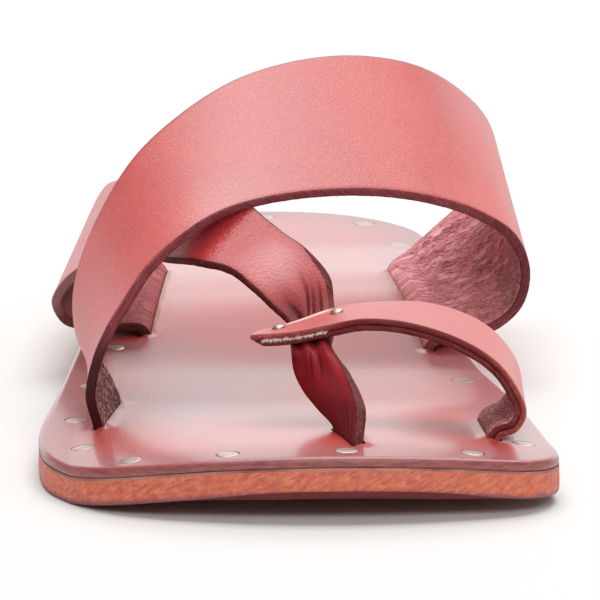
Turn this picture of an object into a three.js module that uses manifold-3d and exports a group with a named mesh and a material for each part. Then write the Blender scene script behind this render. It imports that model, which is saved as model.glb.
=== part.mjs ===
// Leather sandal for the right foot: two-ply nailed sole, crossing instep and thong straps, big-toe loop.
// Sizes are in millimetres. x grows towards the big-toe side, back from toe tip to heel, up from the floor.
import * as THREE from 'three';
import { mergeVertices } from 'three/addons/utils/BufferGeometryUtils.js';
import Module from 'manifold-3d';

const wasm = await Module();
wasm.setup();

// Sole
const OUTSOLE_THICK = 5.2;
const INSOLE_THICK = 2.0;
const FIT_GAP = 0.3;
const SOLE_THICK = OUTSOLE_THICK + FIT_GAP + INSOLE_THICK;
const GRID_ACROSS = 12;
const GRID_ALONG = 30;

// Toe spring: lifted most along the middle of the toe, with both front corners near the floor
const TOE_SPRING = 6.0;
const TOE_FLAT_END = 8;
const TOE_REST_START = 80;
const TOE_CROWN_X = 8;
const TOE_CROWN_HALF = 50;
const TOE_CROWN_DROP = 0.9;

// Arch: the waist lifts off the floor, more on the big-toe side
const ARCH_START = 104;
const ARCH_TOP_START = 168;
const ARCH_TOP_END = 178;
const ARCH_END = 236;
const ARCH_OUTER_RISE = 1.8;
const ARCH_INNER_RISE = 4.7;
const ARCH_OUTER_X = -45;
const ARCH_INNER_X = 30;

// Sole edge: small chamfer under the edge all round, steep bevel and thicker leather under the middle of the toe
const EDGE_CHAMFER = 0.4;
const TOE_BEVEL_RISE = 0.7;
const TOE_BEVEL_WIDTH = 1.6;
const TOE_BEVEL_REACH = 24;
const TOE_SWELL = 1.0;
const TOE_SWELL_START = 4;
const TOE_SWELL_END = 44;
const TOE_BEVEL_X = { from: -24, full_from: -2, full_to: 24, to: 42 };
const INSOLE_ROUND = 0.8;
const INSOLE_ROUND_MID = 0.3;

// Sole outline, one row for each station round the edge, from the little-toe corner past the big toe
const OUTLINE = [
  { x: -48.5, back: 26 },
  { x: -38, back: 10.8 },
  { x: -18, back: 2.7 },
  { x: 6, back: 0 },
  { x: 29, back: 3.2 },
  { x: 45, back: 9.8 },
  { x: 50.2, back: 19.5 },
  { x: 48.4, back: 38 },
  { x: 43, back: 80 },
  { x: 34.8, back: 120 },
  { x: 29.2, back: 160 },
  { x: 29.6, back: 214 },
  { x: 25, back: 250 },
  { x: 11, back: 266.5 },
  { x: -8, back: 271 },
  { x: -26, back: 265.5 },
  { x: -38, back: 246 },
  { x: -42.6, back: 212 },
  { x: -44.2, back: 150 },
  { x: -48.4, back: 92 },
  { x: -51.5, back: 45 },
];
const OUTLINE_CORNER = { toe_outer: 0, toe_inner: 6, heel_inner: 12, heel_outer: 16 };
const OUTLINE_STEPS = 24;

// Straps
const STRAP_THICK = 2.0;
const LOOP_THICK = 2.5;
const LOOP_GRIP_THICK = 5.4;
const LOOP_GRIP_X = 2.2;
const LOOP_GRIP_HALF = 6.2;
const LOOP_GRIP_FULL = 3.1;
const SLIT_MOUTH = 0.3;
const TAB_FLOAT = 0.1;
const SOLE_LIE_HEIGHT = 8;
const SOLE_LIE_FADE = 4;
const MITRE_LIMIT = 0.3;
const SLIT_CUT_HEIGHT = 60;

// Facets of each strap, along it and across it
const STRAP_FACETS = {
  instep: { steps: 46, across: 5 },
  thong: { steps: 56, across: 8 },
  loop: { steps: 32, across: 3 },
};

// Slits in the insole, from a strap's front edge to its rear edge; grain is the side that the grain faces
const SLIT = {
  instep_outer: { front_x: -41, front_back: 51, rear_x: -37.7, rear_back: 76, grain: -1 },
  instep_inner: { front_x: 27.6, front_back: 122, rear_x: 20.4, rear_back: 186, grain: 1 },
  thong_outer: { front_x: -33, front_back: 135, rear_x: -30.2, rear_back: 195, grain: -1 },
  thong_toe: { front_x: 6.3, front_back: 34, rear_x: 10.4, rear_back: 11.5, grain: -1 },
  loop_inner: { front_x: 39.2, front_back: 28, rear_x: 37.6, rear_back: 54, grain: 1 },
};

// Instep strap, grain face, a row for each section from little-toe side over the instep to the arch side
const INSTEP_ROWS = [
  { front_x: -42.4, front_back: 49.0, front_up: 14.7, rear_x: -40.3, rear_back: 79, rear_up: 12.6 },
  { front_x: -41.0, front_back: 49.5, front_up: 21.9, rear_x: -44.5, rear_back: 82, rear_up: 18.4 },
  { front_x: -38.5, front_back: 51.5, front_up: 27.5, rear_x: -45.8, rear_back: 84, rear_up: 25.8 },
  { front_x: -34.4, front_back: 55.0, front_up: 33.6, rear_x: -44.8, rear_back: 87, rear_up: 32.8 },
  { front_x: -29.9, front_back: 59.0, front_up: 39.4, rear_x: -41.4, rear_back: 91, rear_up: 41.4 },
  { front_x: -21.6, front_back: 67.0, front_up: 45.1, rear_x: -34.3, rear_back: 99, rear_up: 52.4 },
  { front_x: -14.0, front_back: 75.0, front_up: 47.6, rear_x: -25.3, rear_back: 108, rear_up: 59.7 },
  { front_x: -2.0, front_back: 86.0, front_up: 48.2, rear_x: -12.2, rear_back: 121, rear_up: 65.6 },
  { front_x: 14.3, front_back: 100, front_up: 46.3, rear_x: 7.2, rear_back: 142, rear_up: 66.2 },
  { front_x: 27.2, front_back: 110, front_up: 42.7, rear_x: 23.2, rear_back: 157, rear_up: 61.7 },
  { front_x: 37.1, front_back: 117, front_up: 38.1, rear_x: 33.8, rear_back: 170, rear_up: 53.5 },
  { front_x: 44.1, front_back: 121, front_up: 32.6, rear_x: 39.7, rear_back: 178, rear_up: 45.2 },
  { front_x: 47.2, front_back: 124, front_up: 24.7, rear_x: 41.3, rear_back: 184, rear_up: 35.9 },
  { front_x: 45.9, front_back: 124.5, front_up: 17.3, rear_x: 36.7, rear_back: 186, rear_up: 26.9 },
  { front_x: 41.0, front_back: 124, front_up: 12.4, rear_x: 29.6, rear_back: 186, rear_up: 20.0 },
  { front_x: 33.0, front_back: 123, front_up: 9.8, rear_x: 24.0, rear_back: 186, rear_up: 14.8 },
];

// Thong strap, grain face, from the little-toe side of the waist, under the instep strap, to the toe slit
const THONG_ROWS = [
  { front_x: -37.5, front_back: 134.5, front_up: 9.4, rear_x: -33.5, rear_back: 194.5, rear_up: 11.3 },
  { front_x: -43.0, front_back: 133.5, front_up: 9.8, rear_x: -38.0, rear_back: 193.5, rear_up: 13.5 },
  { front_x: -48.8, front_back: 132.5, front_up: 11.5, rear_x: -42.8, rear_back: 192, rear_up: 16.8 },
  { front_x: -51.2, front_back: 132, front_up: 16.0, rear_x: -44.9, rear_back: 190, rear_up: 21.3 },
  { front_x: -49.3, front_back: 130, front_up: 20.5, rear_x: -43.6, rear_back: 188, rear_up: 25.5 },
  { front_x: -45.1, front_back: 126, front_up: 25.0, rear_x: -41.3, rear_back: 184, rear_up: 30.1 },
  { front_x: -40.2, front_back: 115, front_up: 29.5, rear_x: -37.0, rear_back: 168, rear_up: 35.5 },
  { front_x: -34.0, front_back: 98, front_up: 33.8, rear_x: -27.5, rear_back: 138, rear_up: 48.5 },
  { front_x: -27.6, front_back: 80, front_up: 36.3, rear_x: -18.0, rear_back: 104, rear_up: 55.0 },
  { front_x: -19.9, front_back: 68, front_up: 38.2, rear_x: -10.6, rear_back: 82, rear_up: 47.9 },
  { front_x: -14.1, front_back: 66, front_up: 37.2, rear_x: -3.8, rear_back: 76, rear_up: 43.0 },
  { front_x: -9.9, front_back: 64, front_up: 34.3, rear_x: 1.2, rear_back: 72, rear_up: 40.2 },
  { front_x: -5.2, front_back: 61, front_up: 30.3, rear_x: 6.0, rear_back: 67, rear_up: 35.5 },
  { front_x: -2.4, front_back: 58, front_up: 28.3, rear_x: 6.7, rear_back: 62, rear_up: 31.3 },
  { front_x: -2.0, front_back: 50, front_up: 27.4, rear_x: 6.4, rear_back: 51, rear_up: 28.8 },
  { front_x: -1.8, front_back: 41, front_up: 26.0, rear_x: 6.1, rear_back: 40, rear_up: 27.6 },
  { front_x: -1.2, front_back: 42.5, front_up: 21.2, rear_x: 8.8, rear_back: 29, rear_up: 24.3 },
  { front_x: 0.6, front_back: 42, front_up: 17.3, rear_x: 10.3, rear_back: 21.5, rear_up: 21.8 },
  { front_x: 3.3, front_back: 39, front_up: 14.4, rear_x: 11.1, rear_back: 16, rear_up: 19.2 },
];

// Big-toe loop, grain face of its upper ply, from the free end over the toe to the slit
const LOOP_ROWS = [
  { front_x: -9.8, front_back: 43, front_up: 28.5, rear_x: -8.5, rear_back: 52, rear_up: 27.4 },
  { front_x: -1.6, front_back: 41, front_up: 29.5, rear_x: -1.8, rear_back: 54, rear_up: 28.8 },
  { front_x: 5.9, front_back: 40, front_up: 31.2, rear_x: 6.9, rear_back: 56, rear_up: 31.4 },
  { front_x: 12.5, front_back: 38, front_up: 32.8, rear_x: 13.8, rear_back: 57, rear_up: 32.2 },
  { front_x: 21.5, front_back: 36, front_up: 32.4, rear_x: 25.1, rear_back: 57, rear_up: 32.2 },
  { front_x: 31.7, front_back: 34, front_up: 29.4, rear_x: 33.1, rear_back: 56, rear_up: 30.0 },
  { front_x: 39.1, front_back: 32, front_up: 24.9, rear_x: 39.0, rear_back: 55.5, rear_up: 26.2 },
  { front_x: 42.8, front_back: 30, front_up: 20.1, rear_x: 43.1, rear_back: 55, rear_up: 20.3 },
  { front_x: 44.3, front_back: 28.5, front_up: 15.8, rear_x: 43.7, rear_back: 54.5, rear_up: 15.4 },
  { front_x: 42.4, front_back: 28, front_up: 12.3, rear_x: 41.2, rear_back: 54, rear_up: 11.3 },
];

// Pleats that gather the thong strap where the loop grips it
const PLEAT_DEPTH = 1.1;
const PLEAT_COUNT = 2.5;
const PLEAT_ROW = 14.5;
const PLEAT_ROWS_ABOVE = 4.5;
const PLEAT_ROWS_BELOW = 3.5;

// Rivets through the loop on both sides of the thong, placed along and across the loop's rows
const RIVETS = [
  { row: 0.66, across: 0.62 },
  { row: 2.1, across: 0.64 },
];
const RIVET_HEAD_RADIUS = 1.6;
const RIVET_HEAD_RISE = 0.9;
const RIVET_SHOULDER_RADIUS = 1.15;
const RIVET_SHOULDER_RISE = 0.63;
const RIVET_SHANK_RADIUS = 0.7;
const RIVET_SHANK_LENGTH = 2.0;
const ROUND_STEPS = 12;

// Nail heads set flush in the insole, a row for each nail
const NAIL_RADIUS = 2.25;
const NAIL_SINK = 0.6;
const NAIL_CROWN = 0.12;
const NAIL_CROWN_RADIUS = 1.35;
const NAILS = [
  { x: -33.0, back: 14.2 },
  { x: -14.0, back: 8.2 },
  { x: 9.0, back: 7.0 },
  { x: 33.5, back: 11.2 },
  { x: 43.6, back: 27.5 },
  { x: 40.2, back: 66 },
  { x: 33.0, back: 97.3 },
  { x: 22.8, back: 204 },
  { x: 21.6, back: 233 },
  { x: 14.0, back: 257 },
  { x: -7.8, back: 264.2 },
  { x: -26.5, back: 256 },
  { x: -34.4, back: 234 },
  { x: -36.2, back: 210 },
  { x: -38.2, back: 126 },
  { x: -42.2, back: 92 },
  { x: -44.6, back: 60 },
  { x: -42.6, back: 34.5 },
];

const WELD = 1e-4;
const LEATHER_RED = 0xc9605f;
const LEATHER_STRAP = 0xe0908e;
const LEATHER_EDGE = 0xd98a66;
const STEEL = 0xd9cfc6;

// Rise from 0 to 1 with level ends
function smooth(from, to, value) {
  const t = THREE.MathUtils.clamp((value - from) / (to - from), 0, 1);
  return t * t * (3 - 2 * t);
}

// Height that toe spring and arch lift the sole off the floor
function liftAt(x, back) {
  const aside = (x - TOE_CROWN_X) / TOE_CROWN_HALF;
  const crown = 1 - TOE_CROWN_DROP * aside * aside;
  const toe = TOE_SPRING * (1 - smooth(TOE_FLAT_END, TOE_REST_START, back)) * Math.max(crown, 0);
  const inward = THREE.MathUtils.clamp((x - ARCH_OUTER_X) / (ARCH_INNER_X - ARCH_OUTER_X), 0, 1);
  const rise = THREE.MathUtils.lerp(ARCH_OUTER_RISE, ARCH_INNER_RISE, inward);
  const bell = smooth(ARCH_START, ARCH_TOP_START, back) * (1 - smooth(ARCH_TOP_END, ARCH_END, back));
  return toe + rise * bell;
}

function soleTop(x, back) {
  return SOLE_THICK + liftAt(x, back);
}

const outlineCurve = new THREE.CatmullRomCurve3(
  OUTLINE.map((row) => new THREE.Vector3(row.x, row.back, 0)),
  true,
  'centripetal',
);

// Point of the outline at a row position, moved inwards by the inset
function outlinePoint(position, inset) {
  const t = THREE.MathUtils.euclideanModulo(position / OUTLINE.length, 1);
  const point = outlineCurve.getPoint(t);
  const tangent = outlineCurve.getTangent(t);
  return new THREE.Vector2(point.x - tangent.y * inset, point.y + tangent.x * inset);
}

// Row positions that part one side of the outline into equal lengths
function sidePositions(fromRow, toRow, count) {
  const fine = (toRow - fromRow) * OUTLINE_STEPS;
  const lengths = [0];
  for (let k = 1; k <= fine; k += 1) {
    const before = outlinePoint(fromRow + (k - 1) / OUTLINE_STEPS, 0);
    const after = outlinePoint(fromRow + k / OUTLINE_STEPS, 0);
    lengths.push(lengths[k - 1] + before.distanceTo(after));
  }
  const positions = [];
  let k = 1;
  for (let i = 0; i <= count; i += 1) {
    const wanted = (lengths[fine] * i) / count;
    while (k < fine && lengths[k] < wanted) {
      k += 1;
    }
    const part = (wanted - lengths[k - 1]) / (lengths[k] - lengths[k - 1]);
    positions.push(fromRow + (k - 1 + part) / OUTLINE_STEPS);
  }
  return positions;
}

const SIDE = {
  toe: sidePositions(OUTLINE_CORNER.toe_outer, OUTLINE_CORNER.toe_inner, GRID_ACROSS),
  inner: sidePositions(OUTLINE_CORNER.toe_inner, OUTLINE_CORNER.heel_inner, GRID_ALONG),
  heel: sidePositions(OUTLINE_CORNER.heel_inner, OUTLINE_CORNER.heel_outer, GRID_ACROSS).reverse(),
  outer: sidePositions(OUTLINE_CORNER.heel_outer, OUTLINE.length, GRID_ALONG).reverse(),
};

// Grid of points filling the outline, blended from its four sides; insetAt gives the inset at a row position
function soleGrid(insetAt) {
  const edge = (position) => outlinePoint(position, insetAt(position));
  const toe = SIDE.toe.map(edge);
  const inner = SIDE.inner.map(edge);
  const heel = SIDE.heel.map(edge);
  const outer = SIDE.outer.map(edge);
  const grid = [];
  for (let i = 0; i <= GRID_ALONG; i += 1) {
    const v = i / GRID_ALONG;
    const row = [];
    for (let j = 0; j <= GRID_ACROSS; j += 1) {
      const u = j / GRID_ACROSS;
      const ends = toe[j].clone().lerp(heel[j], v);
      const sides = outer[i].clone().lerp(inner[i], u);
      const front = toe[0].clone().lerp(toe[GRID_ACROSS], u);
      const rear = heel[0].clone().lerp(heel[GRID_ACROSS], u);
      row.push(ends.add(sides).sub(front.lerp(rear, v)));
    }
    grid.push(row);
  }
  return grid;
}

// Row positions and grid places of the rim, in order round the sole
function rimPlaces() {
  const places = [];
  for (let j = 0; j < GRID_ACROSS; j += 1) {
    places.push({ i: 0, j, position: SIDE.toe[j] });
  }
  for (let i = 0; i < GRID_ALONG; i += 1) {
    places.push({ i, j: GRID_ACROSS, position: SIDE.inner[i] });
  }
  for (let j = GRID_ACROSS; j > 0; j -= 1) {
    places.push({ i: GRID_ALONG, j, position: SIDE.heel[j] });
  }
  for (let i = GRID_ALONG; i > 0; i -= 1) {
    places.push({ i, j: 0, position: SIDE.outer[i] });
  }
  return places;
}
const RIM = rimPlaces();

function geometryFrom(positions, index) {
  const geometry = new THREE.BufferGeometry();
  geometry.setAttribute('position', new THREE.Float32BufferAttribute(positions, 3));
  geometry.setIndex(index);
  return geometry;
}

// One ply of the sole: a bottom grid, rings up its edge and a top grid
function plyGeometry({ bottom, rings, top }) {
  const positions = [];
  const index = [];
  const add = (x, back, up) => {
    positions.push(x, back, up);
    return positions.length / 3 - 1;
  };
  const addGrid = (level) =>
    soleGrid(level.inset).map((row) => row.map((p) => add(p.x, p.y, level.up(p.x, p.y))));
  const quad = (a, b, c, d) => index.push(a, b, c, a, c, d);
  const low = addGrid(bottom);
  const high = addGrid(top);
  for (let i = 0; i < GRID_ALONG; i += 1) {
    for (let j = 0; j < GRID_ACROSS; j += 1) {
      quad(low[i][j], low[i + 1][j], low[i + 1][j + 1], low[i][j + 1]);
      quad(high[i][j], high[i][j + 1], high[i + 1][j + 1], high[i + 1][j]);
    }
  }
  const loops = [RIM.map((place) => low[place.i][place.j])];
  for (const ring of rings) {
    loops.push(
      RIM.map((place) => {
        const p = outlinePoint(place.position, ring.inset(place.position));
        return add(p.x, p.y, ring.up(p.x, p.y, place.position));
      }),
    );
  }
  loops.push(RIM.map((place) => high[place.i][place.j]));
  for (let k = 0; k + 1 < loops.length; k += 1) {
    for (let n = 0; n < RIM.length; n += 1) {
      const next = (n + 1) % RIM.length;
      quad(loops[k][n], loops[k][next], loops[k + 1][next], loops[k + 1][n]);
    }
  }
  return geometryFrom(positions, index);
}

// Share of the toe's middle: 1 under the middle of the toe, 0 at its corners
function toeShare(x) {
  const grow = smooth(TOE_BEVEL_X.from, TOE_BEVEL_X.full_from, x);
  const shrink = smooth(TOE_BEVEL_X.full_to, TOE_BEVEL_X.to, x);
  return grow * (1 - shrink);
}

function bevelShare(position) {
  const p = outlinePoint(position, 0);
  return p.y < TOE_BEVEL_REACH ? toeShare(p.x) : 0;
}

function undersideAt(x, back) {
  const swell = TOE_SWELL * toeShare(x) * (1 - smooth(TOE_SWELL_START, TOE_SWELL_END, back));
  return liftAt(x, back) - swell;
}

function outsoleGeometry() {
  return plyGeometry({
    bottom: {
      inset: (position) => EDGE_CHAMFER + TOE_BEVEL_WIDTH * bevelShare(position),
      up: undersideAt,
    },
    rings: [
      {
        inset: () => 0,
        up: (x, back, position) => liftAt(x, back) + EDGE_CHAMFER + TOE_BEVEL_RISE * bevelShare(position),
      },
    ],
    top: { inset: () => 0, up: (x, back) => OUTSOLE_THICK + liftAt(x, back) },
  });
}

function insoleGeometry() {
  return plyGeometry({
    bottom: { inset: () => 0, up: (x, back) => soleTop(x, back) - INSOLE_THICK },
    rings: [
      { inset: () => 0, up: (x, back) => soleTop(x, back) - INSOLE_ROUND },
      {
        inset: () => INSOLE_ROUND * INSOLE_ROUND_MID,
        up: (x, back) => soleTop(x, back) - INSOLE_ROUND * INSOLE_ROUND_MID,
      },
    ],
    top: { inset: () => INSOLE_ROUND, up: soleTop },
  });
}

function toManifold(geometry) {
  const plain = geometry.clone();
  plain.deleteAttribute('normal');
  plain.deleteAttribute('uv');
  const welded = mergeVertices(plain, WELD);
  return new wasm.Manifold(
    new wasm.Mesh({
      numProp: 3,
      vertProperties: new Float32Array(welded.attributes.position.array),
      triVerts: new Uint32Array(welded.index.array),
    }),
  );
}

function fromManifold(solid) {
  const mesh = solid.getMesh();
  return geometryFrom(Array.from(mesh.vertProperties), Array.from(mesh.triVerts));
}

// Upright box round a strap's tab in the insole
function slitCutter(slit, thick) {
  const run = new THREE.Vector2(slit.rear_x - slit.front_x, slit.rear_back - slit.front_back);
  const length = run.length();
  const across = slitAcross(slit);
  const box = new THREE.BoxGeometry(length + 2 * FIT_GAP, thick + 2 * FIT_GAP, SLIT_CUT_HEIGHT);
  box.rotateZ(run.angle());
  box.translate(
    (slit.front_x + slit.rear_x) / 2 - (across.x * thick) / 2,
    (slit.front_back + slit.rear_back) / 2 - (across.y * thick) / 2,
    0,
  );
  return toManifold(box);
}

// Level direction that the grain of a strap's tab faces
function slitAcross(slit) {
  const run = new THREE.Vector2(slit.rear_x - slit.front_x, slit.rear_back - slit.front_back).normalize();
  const across = new THREE.Vector2(run.y, -run.x);
  return across.x * slit.grain > 0 ? across : across.negate();
}

function slitRow(slit) {
  return {
    front_x: slit.front_x,
    front_back: slit.front_back,
    front_up: soleTop(slit.front_x, slit.front_back) + SLIT_MOUTH,
    rear_x: slit.rear_x,
    rear_back: slit.rear_back,
    rear_up: soleTop(slit.rear_x, slit.rear_back) + SLIT_MOUTH,
  };
}

// Grain face of a strap: t runs through its rows, v from front edge to rear edge
function strapFace(rows) {
  const front = new THREE.CatmullRomCurve3(
    rows.map((row) => new THREE.Vector3(row.front_x, row.front_back, row.front_up)),
  );
  const rear = new THREE.CatmullRomCurve3(
    rows.map((row) => new THREE.Vector3(row.rear_x, row.rear_back, row.rear_up)),
  );
  return (t, v) => {
    const point = front.getPoint(t).lerp(rear.getPoint(t), v);
    const sole = soleTop(point.x, point.y);
    const near = THREE.MathUtils.clamp((SOLE_THICK + SOLE_LIE_HEIGHT - point.z) / SOLE_LIE_FADE, 0, 1);
    point.z = THREE.MathUtils.lerp(point.z, Math.max(point.z, sole + SLIT_MOUTH), near);
    return point;
  };
}

// Strap solid: grain grid, flesh grid set in by the thickness, and tabs down into the slits
function strapSolid({ rows, startSlit, endSlit, facets, thickAt, pleatAt }) {
  const { steps, across } = facets;
  const all = [...rows];
  if (startSlit) {
    all.unshift(slitRow(startSlit));
  }
  if (endSlit) {
    all.push(slitRow(endSlit));
  }
  const face = strapFace(all);
  const grid = [];
  for (let i = 0; i <= steps; i += 1) {
    const line = [];
    for (let j = 0; j <= across; j += 1) {
      line.push(face(i / steps, j / across));
    }
    grid.push(line);
  }
  const rings = [];
  for (let i = 0; i <= steps; i += 1) {
    const ring = [];
    for (let j = 0; j <= across; j += 1) {
      const run = grid[Math.min(i + 1, steps)][j].clone().sub(grid[Math.max(i - 1, 0)][j]);
      const width = grid[i][Math.min(j + 1, across)].clone().sub(grid[i][Math.max(j - 1, 0)]);
      const normal = run.cross(width).normalize();
      const slit = i === 0 ? startSlit : i === steps ? endSlit : undefined;
      let reach = thickAt(grid[i][j].x);
      if (slit) {
        const side = slitAcross(slit);
        const level = new THREE.Vector3(side.x, side.y, 0);
        const bend = normal.dot(level);
        normal.add(level).normalize();
        reach /= Math.sqrt(Math.max((1 + bend) / 2, MITRE_LIMIT));
      }
      const wave = pleatAt((i / steps) * (all.length - 1) - (startSlit ? 1 : 0), j / across);
      const grain = grid[i][j].clone().addScaledVector(normal, wave);
      ring.push({ grain, flesh: grain.clone().addScaledVector(normal, -reach) });
    }
    rings.push(ring);
  }
  if (startSlit) {
    rings.unshift(tabRing(startSlit, across, thickAt));
  }
  if (endSlit) {
    rings.push(tabRing(endSlit, across, thickAt));
  }
  return toManifold(ringGeometry(rings));
}

// Lower end of a strap's tab, just clear of the outsole
function tabRing(slit, across, thickAt) {
  const side = slitAcross(slit);
  const ring = [];
  for (let j = 0; j <= across; j += 1) {
    const x = THREE.MathUtils.lerp(slit.front_x, slit.rear_x, j / across);
    const back = THREE.MathUtils.lerp(slit.front_back, slit.rear_back, j / across);
    const up = soleTop(x, back) - INSOLE_THICK + TAB_FLOAT;
    const thick = thickAt(x);
    ring.push({
      grain: new THREE.Vector3(x, back, up),
      flesh: new THREE.Vector3(x - side.x * thick, back - side.y * thick, up),
    });
  }
  return ring;
}

// Closed skin over rings of grain and flesh points
function ringGeometry(rings) {
  const across = rings[0].length - 1;
  const loop = 2 * (across + 1);
  const positions = [];
  for (const ring of rings) {
    const points = [...ring.map((p) => p.grain), ...ring.map((p) => p.flesh).reverse()];
    for (const p of points) {
      positions.push(p.x, p.y, p.z);
    }
  }
  const index = [];
  const quad = (a, b, c, d) => index.push(a, b, c, a, c, d);
  for (let i = 0; i + 1 < rings.length; i += 1) {
    for (let k = 0; k < loop; k += 1) {
      const next = (k + 1) % loop;
      quad(i * loop + k, (i + 1) * loop + k, (i + 1) * loop + next, i * loop + next);
    }
  }
  const last = (rings.length - 1) * loop;
  for (let j = 0; j < across; j += 1) {
    const far = loop - 1 - j;
    quad(j, j + 1, far - 1, far);
    quad(last + far, last + far - 1, last + j + 1, last + j);
  }
  return geometryFrom(positions, index);
}

// Pleats fade out above and below the grip of the loop
function thongPleat(row, v) {
  const reach = row < PLEAT_ROW ? PLEAT_ROWS_ABOVE : PLEAT_ROWS_BELOW;
  const fade = 1 - smooth(0, reach, Math.abs(row - PLEAT_ROW));
  return PLEAT_DEPTH * fade * Math.cos(2 * Math.PI * PLEAT_COUNT * v);
}

// The loop grips the thong between its two plies, so it is thicker there
function loopThick(x) {
  const near = 1 - smooth(LOOP_GRIP_FULL, LOOP_GRIP_HALF, Math.abs(x - LOOP_GRIP_X));
  return THREE.MathUtils.lerp(LOOP_THICK, LOOP_GRIP_THICK, near);
}

// Frame on a surface: origin, and a turn from the z axis to its outward normal
function turnTo(normal) {
  return new THREE.Quaternion().setFromUnitVectors(new THREE.Vector3(0, 0, 1), normal);
}

function seated(geometry, point, normal) {
  geometry.applyQuaternion(turnTo(normal));
  geometry.translate(point.x, point.y, point.z);
  return geometry;
}

// Round piece from its profile of radius and height pairs
function roundGeometry(profile) {
  const points = profile.map(([radius, height]) => new THREE.Vector2(radius, height));
  const geometry = new THREE.LatheGeometry(points, ROUND_STEPS);
  geometry.rotateX(Math.PI / 2);
  geometry.deleteAttribute('normal');
  geometry.deleteAttribute('uv');
  return mergeVertices(geometry, WELD);
}

function soleNormal(x, back) {
  const step = 1;
  const along = liftAt(x, back + step) - liftAt(x, back - step);
  const aside = liftAt(x + step, back) - liftAt(x - step, back);
  return new THREE.Vector3(-aside, -along, 2 * step).normalize();
}

function nailGeometry(nail) {
  const head = roundGeometry([
    [0, -NAIL_SINK],
    [NAIL_RADIUS, -NAIL_SINK],
    [NAIL_RADIUS, 0],
    [NAIL_CROWN_RADIUS, NAIL_CROWN],
    [0, NAIL_CROWN],
  ]);
  const seat = new THREE.Vector3(nail.x, nail.back, soleTop(nail.x, nail.back));
  return seated(head, seat, soleNormal(nail.x, nail.back));
}

function nailRecess(nail) {
  const depth = NAIL_SINK + FIT_GAP;
  const radius = NAIL_RADIUS + FIT_GAP;
  const recess = roundGeometry([
    [0, -depth],
    [radius, -depth],
    [radius, depth],
    [0, depth],
  ]);
  const seat = new THREE.Vector3(nail.x, nail.back, soleTop(nail.x, nail.back));
  return toManifold(seated(recess, seat, soleNormal(nail.x, nail.back)));
}

// Place and outward normal of a rivet on the loop's upper ply
function rivetSeat(rivet) {
  const face = strapFace([...LOOP_ROWS, slitRow(SLIT.loop_inner)]);
  const t = rivet.row / LOOP_ROWS.length;
  const step = 0.01;
  const point = face(t, rivet.across);
  const run = face(t + step, rivet.across).sub(face(t - step, rivet.across));
  const width = face(t, rivet.across + step).sub(face(t, rivet.across - step));
  return { point, normal: run.cross(width).normalize() };
}

function rivetGeometry(rivet) {
  const { point, normal } = rivetSeat(rivet);
  const head = roundGeometry([
    [0, -RIVET_SHANK_LENGTH],
    [RIVET_SHANK_RADIUS, -RIVET_SHANK_LENGTH],
    [RIVET_SHANK_RADIUS, FIT_GAP],
    [RIVET_HEAD_RADIUS, FIT_GAP],
    [RIVET_SHOULDER_RADIUS, FIT_GAP + RIVET_SHOULDER_RISE],
    [0, FIT_GAP + RIVET_HEAD_RISE],
  ]);
  return seated(head, point, normal);
}

function rivetHole(rivet) {
  const { point, normal } = rivetSeat(rivet);
  const radius = RIVET_SHANK_RADIUS + FIT_GAP;
  const depth = RIVET_SHANK_LENGTH + FIT_GAP;
  const hole = roundGeometry([
    [0, -depth],
    [radius, -depth],
    [radius, depth],
    [0, depth],
  ]);
  return toManifold(seated(hole, point, normal));
}

// Upper: the three straps, joined where they cross
function upperGeometry() {
  const flat = () => 0;
  const instep = strapSolid({
    rows: INSTEP_ROWS,
    startSlit: SLIT.instep_outer,
    endSlit: SLIT.instep_inner,
    facets: STRAP_FACETS.instep,
    thickAt: () => STRAP_THICK,
    pleatAt: flat,
  });
  const thong = strapSolid({
    rows: THONG_ROWS,
    startSlit: SLIT.thong_outer,
    endSlit: SLIT.thong_toe,
    facets: STRAP_FACETS.thong,
    thickAt: () => STRAP_THICK,
    pleatAt: thongPleat,
  });
  const loop = strapSolid({
    rows: LOOP_ROWS,
    endSlit: SLIT.loop_inner,
    facets: STRAP_FACETS.loop,
    thickAt: loopThick,
    pleatAt: flat,
  });
  let upper = instep.add(thong).add(loop);
  for (const rivet of RIVETS) {
    upper = upper.subtract(rivetHole(rivet));
  }
  return fromManifold(upper);
}

function slottedInsole() {
  let insole = toManifold(insoleGeometry());
  for (const [name, slit] of Object.entries(SLIT)) {
    insole = insole.subtract(slitCutter(slit, name === 'loop_inner' ? LOOP_THICK : STRAP_THICK));
  }
  for (const nail of NAILS) {
    insole = insole.subtract(nailRecess(nail));
  }
  return fromManifold(insole);
}

const finish = (color, roughness, metalness, name) =>
  new THREE.MeshStandardMaterial({ color, roughness, metalness, name });
const soleLeather = finish(LEATHER_EDGE, 0.6, 0, 'sole leather');
const insoleLeather = finish(LEATHER_RED, 0.35, 0, 'insole leather');
const strapLeather = finish(LEATHER_STRAP, 0.45, 0, 'strap leather');
const steel = finish(STEEL, 0.3, 1, 'nail steel');

const pieces = [
  { name: 'outsole', geometry: outsoleGeometry(), material: soleLeather },
  { name: 'insole', geometry: slottedInsole(), material: insoleLeather },
  { name: 'upper', geometry: upperGeometry(), material: strapLeather },
];
RIVETS.forEach((rivet, k) => {
  pieces.push({ name: `loop_rivet_${k + 1}`, geometry: rivetGeometry(rivet), material: steel });
});
NAILS.forEach((nail, k) => {
  const number = String(k + 1).padStart(2, '0');
  pieces.push({ name: `sole_nail_${number}`, geometry: nailGeometry(nail), material: steel });
});

// Shift every piece so that the origin is under the middle of the whole sandal
const bounds = new THREE.Box3();
for (const piece of pieces) {
  piece.geometry.computeBoundingBox();
  bounds.union(piece.geometry.boundingBox);
}
const middle = bounds.getCenter(new THREE.Vector3());

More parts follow.
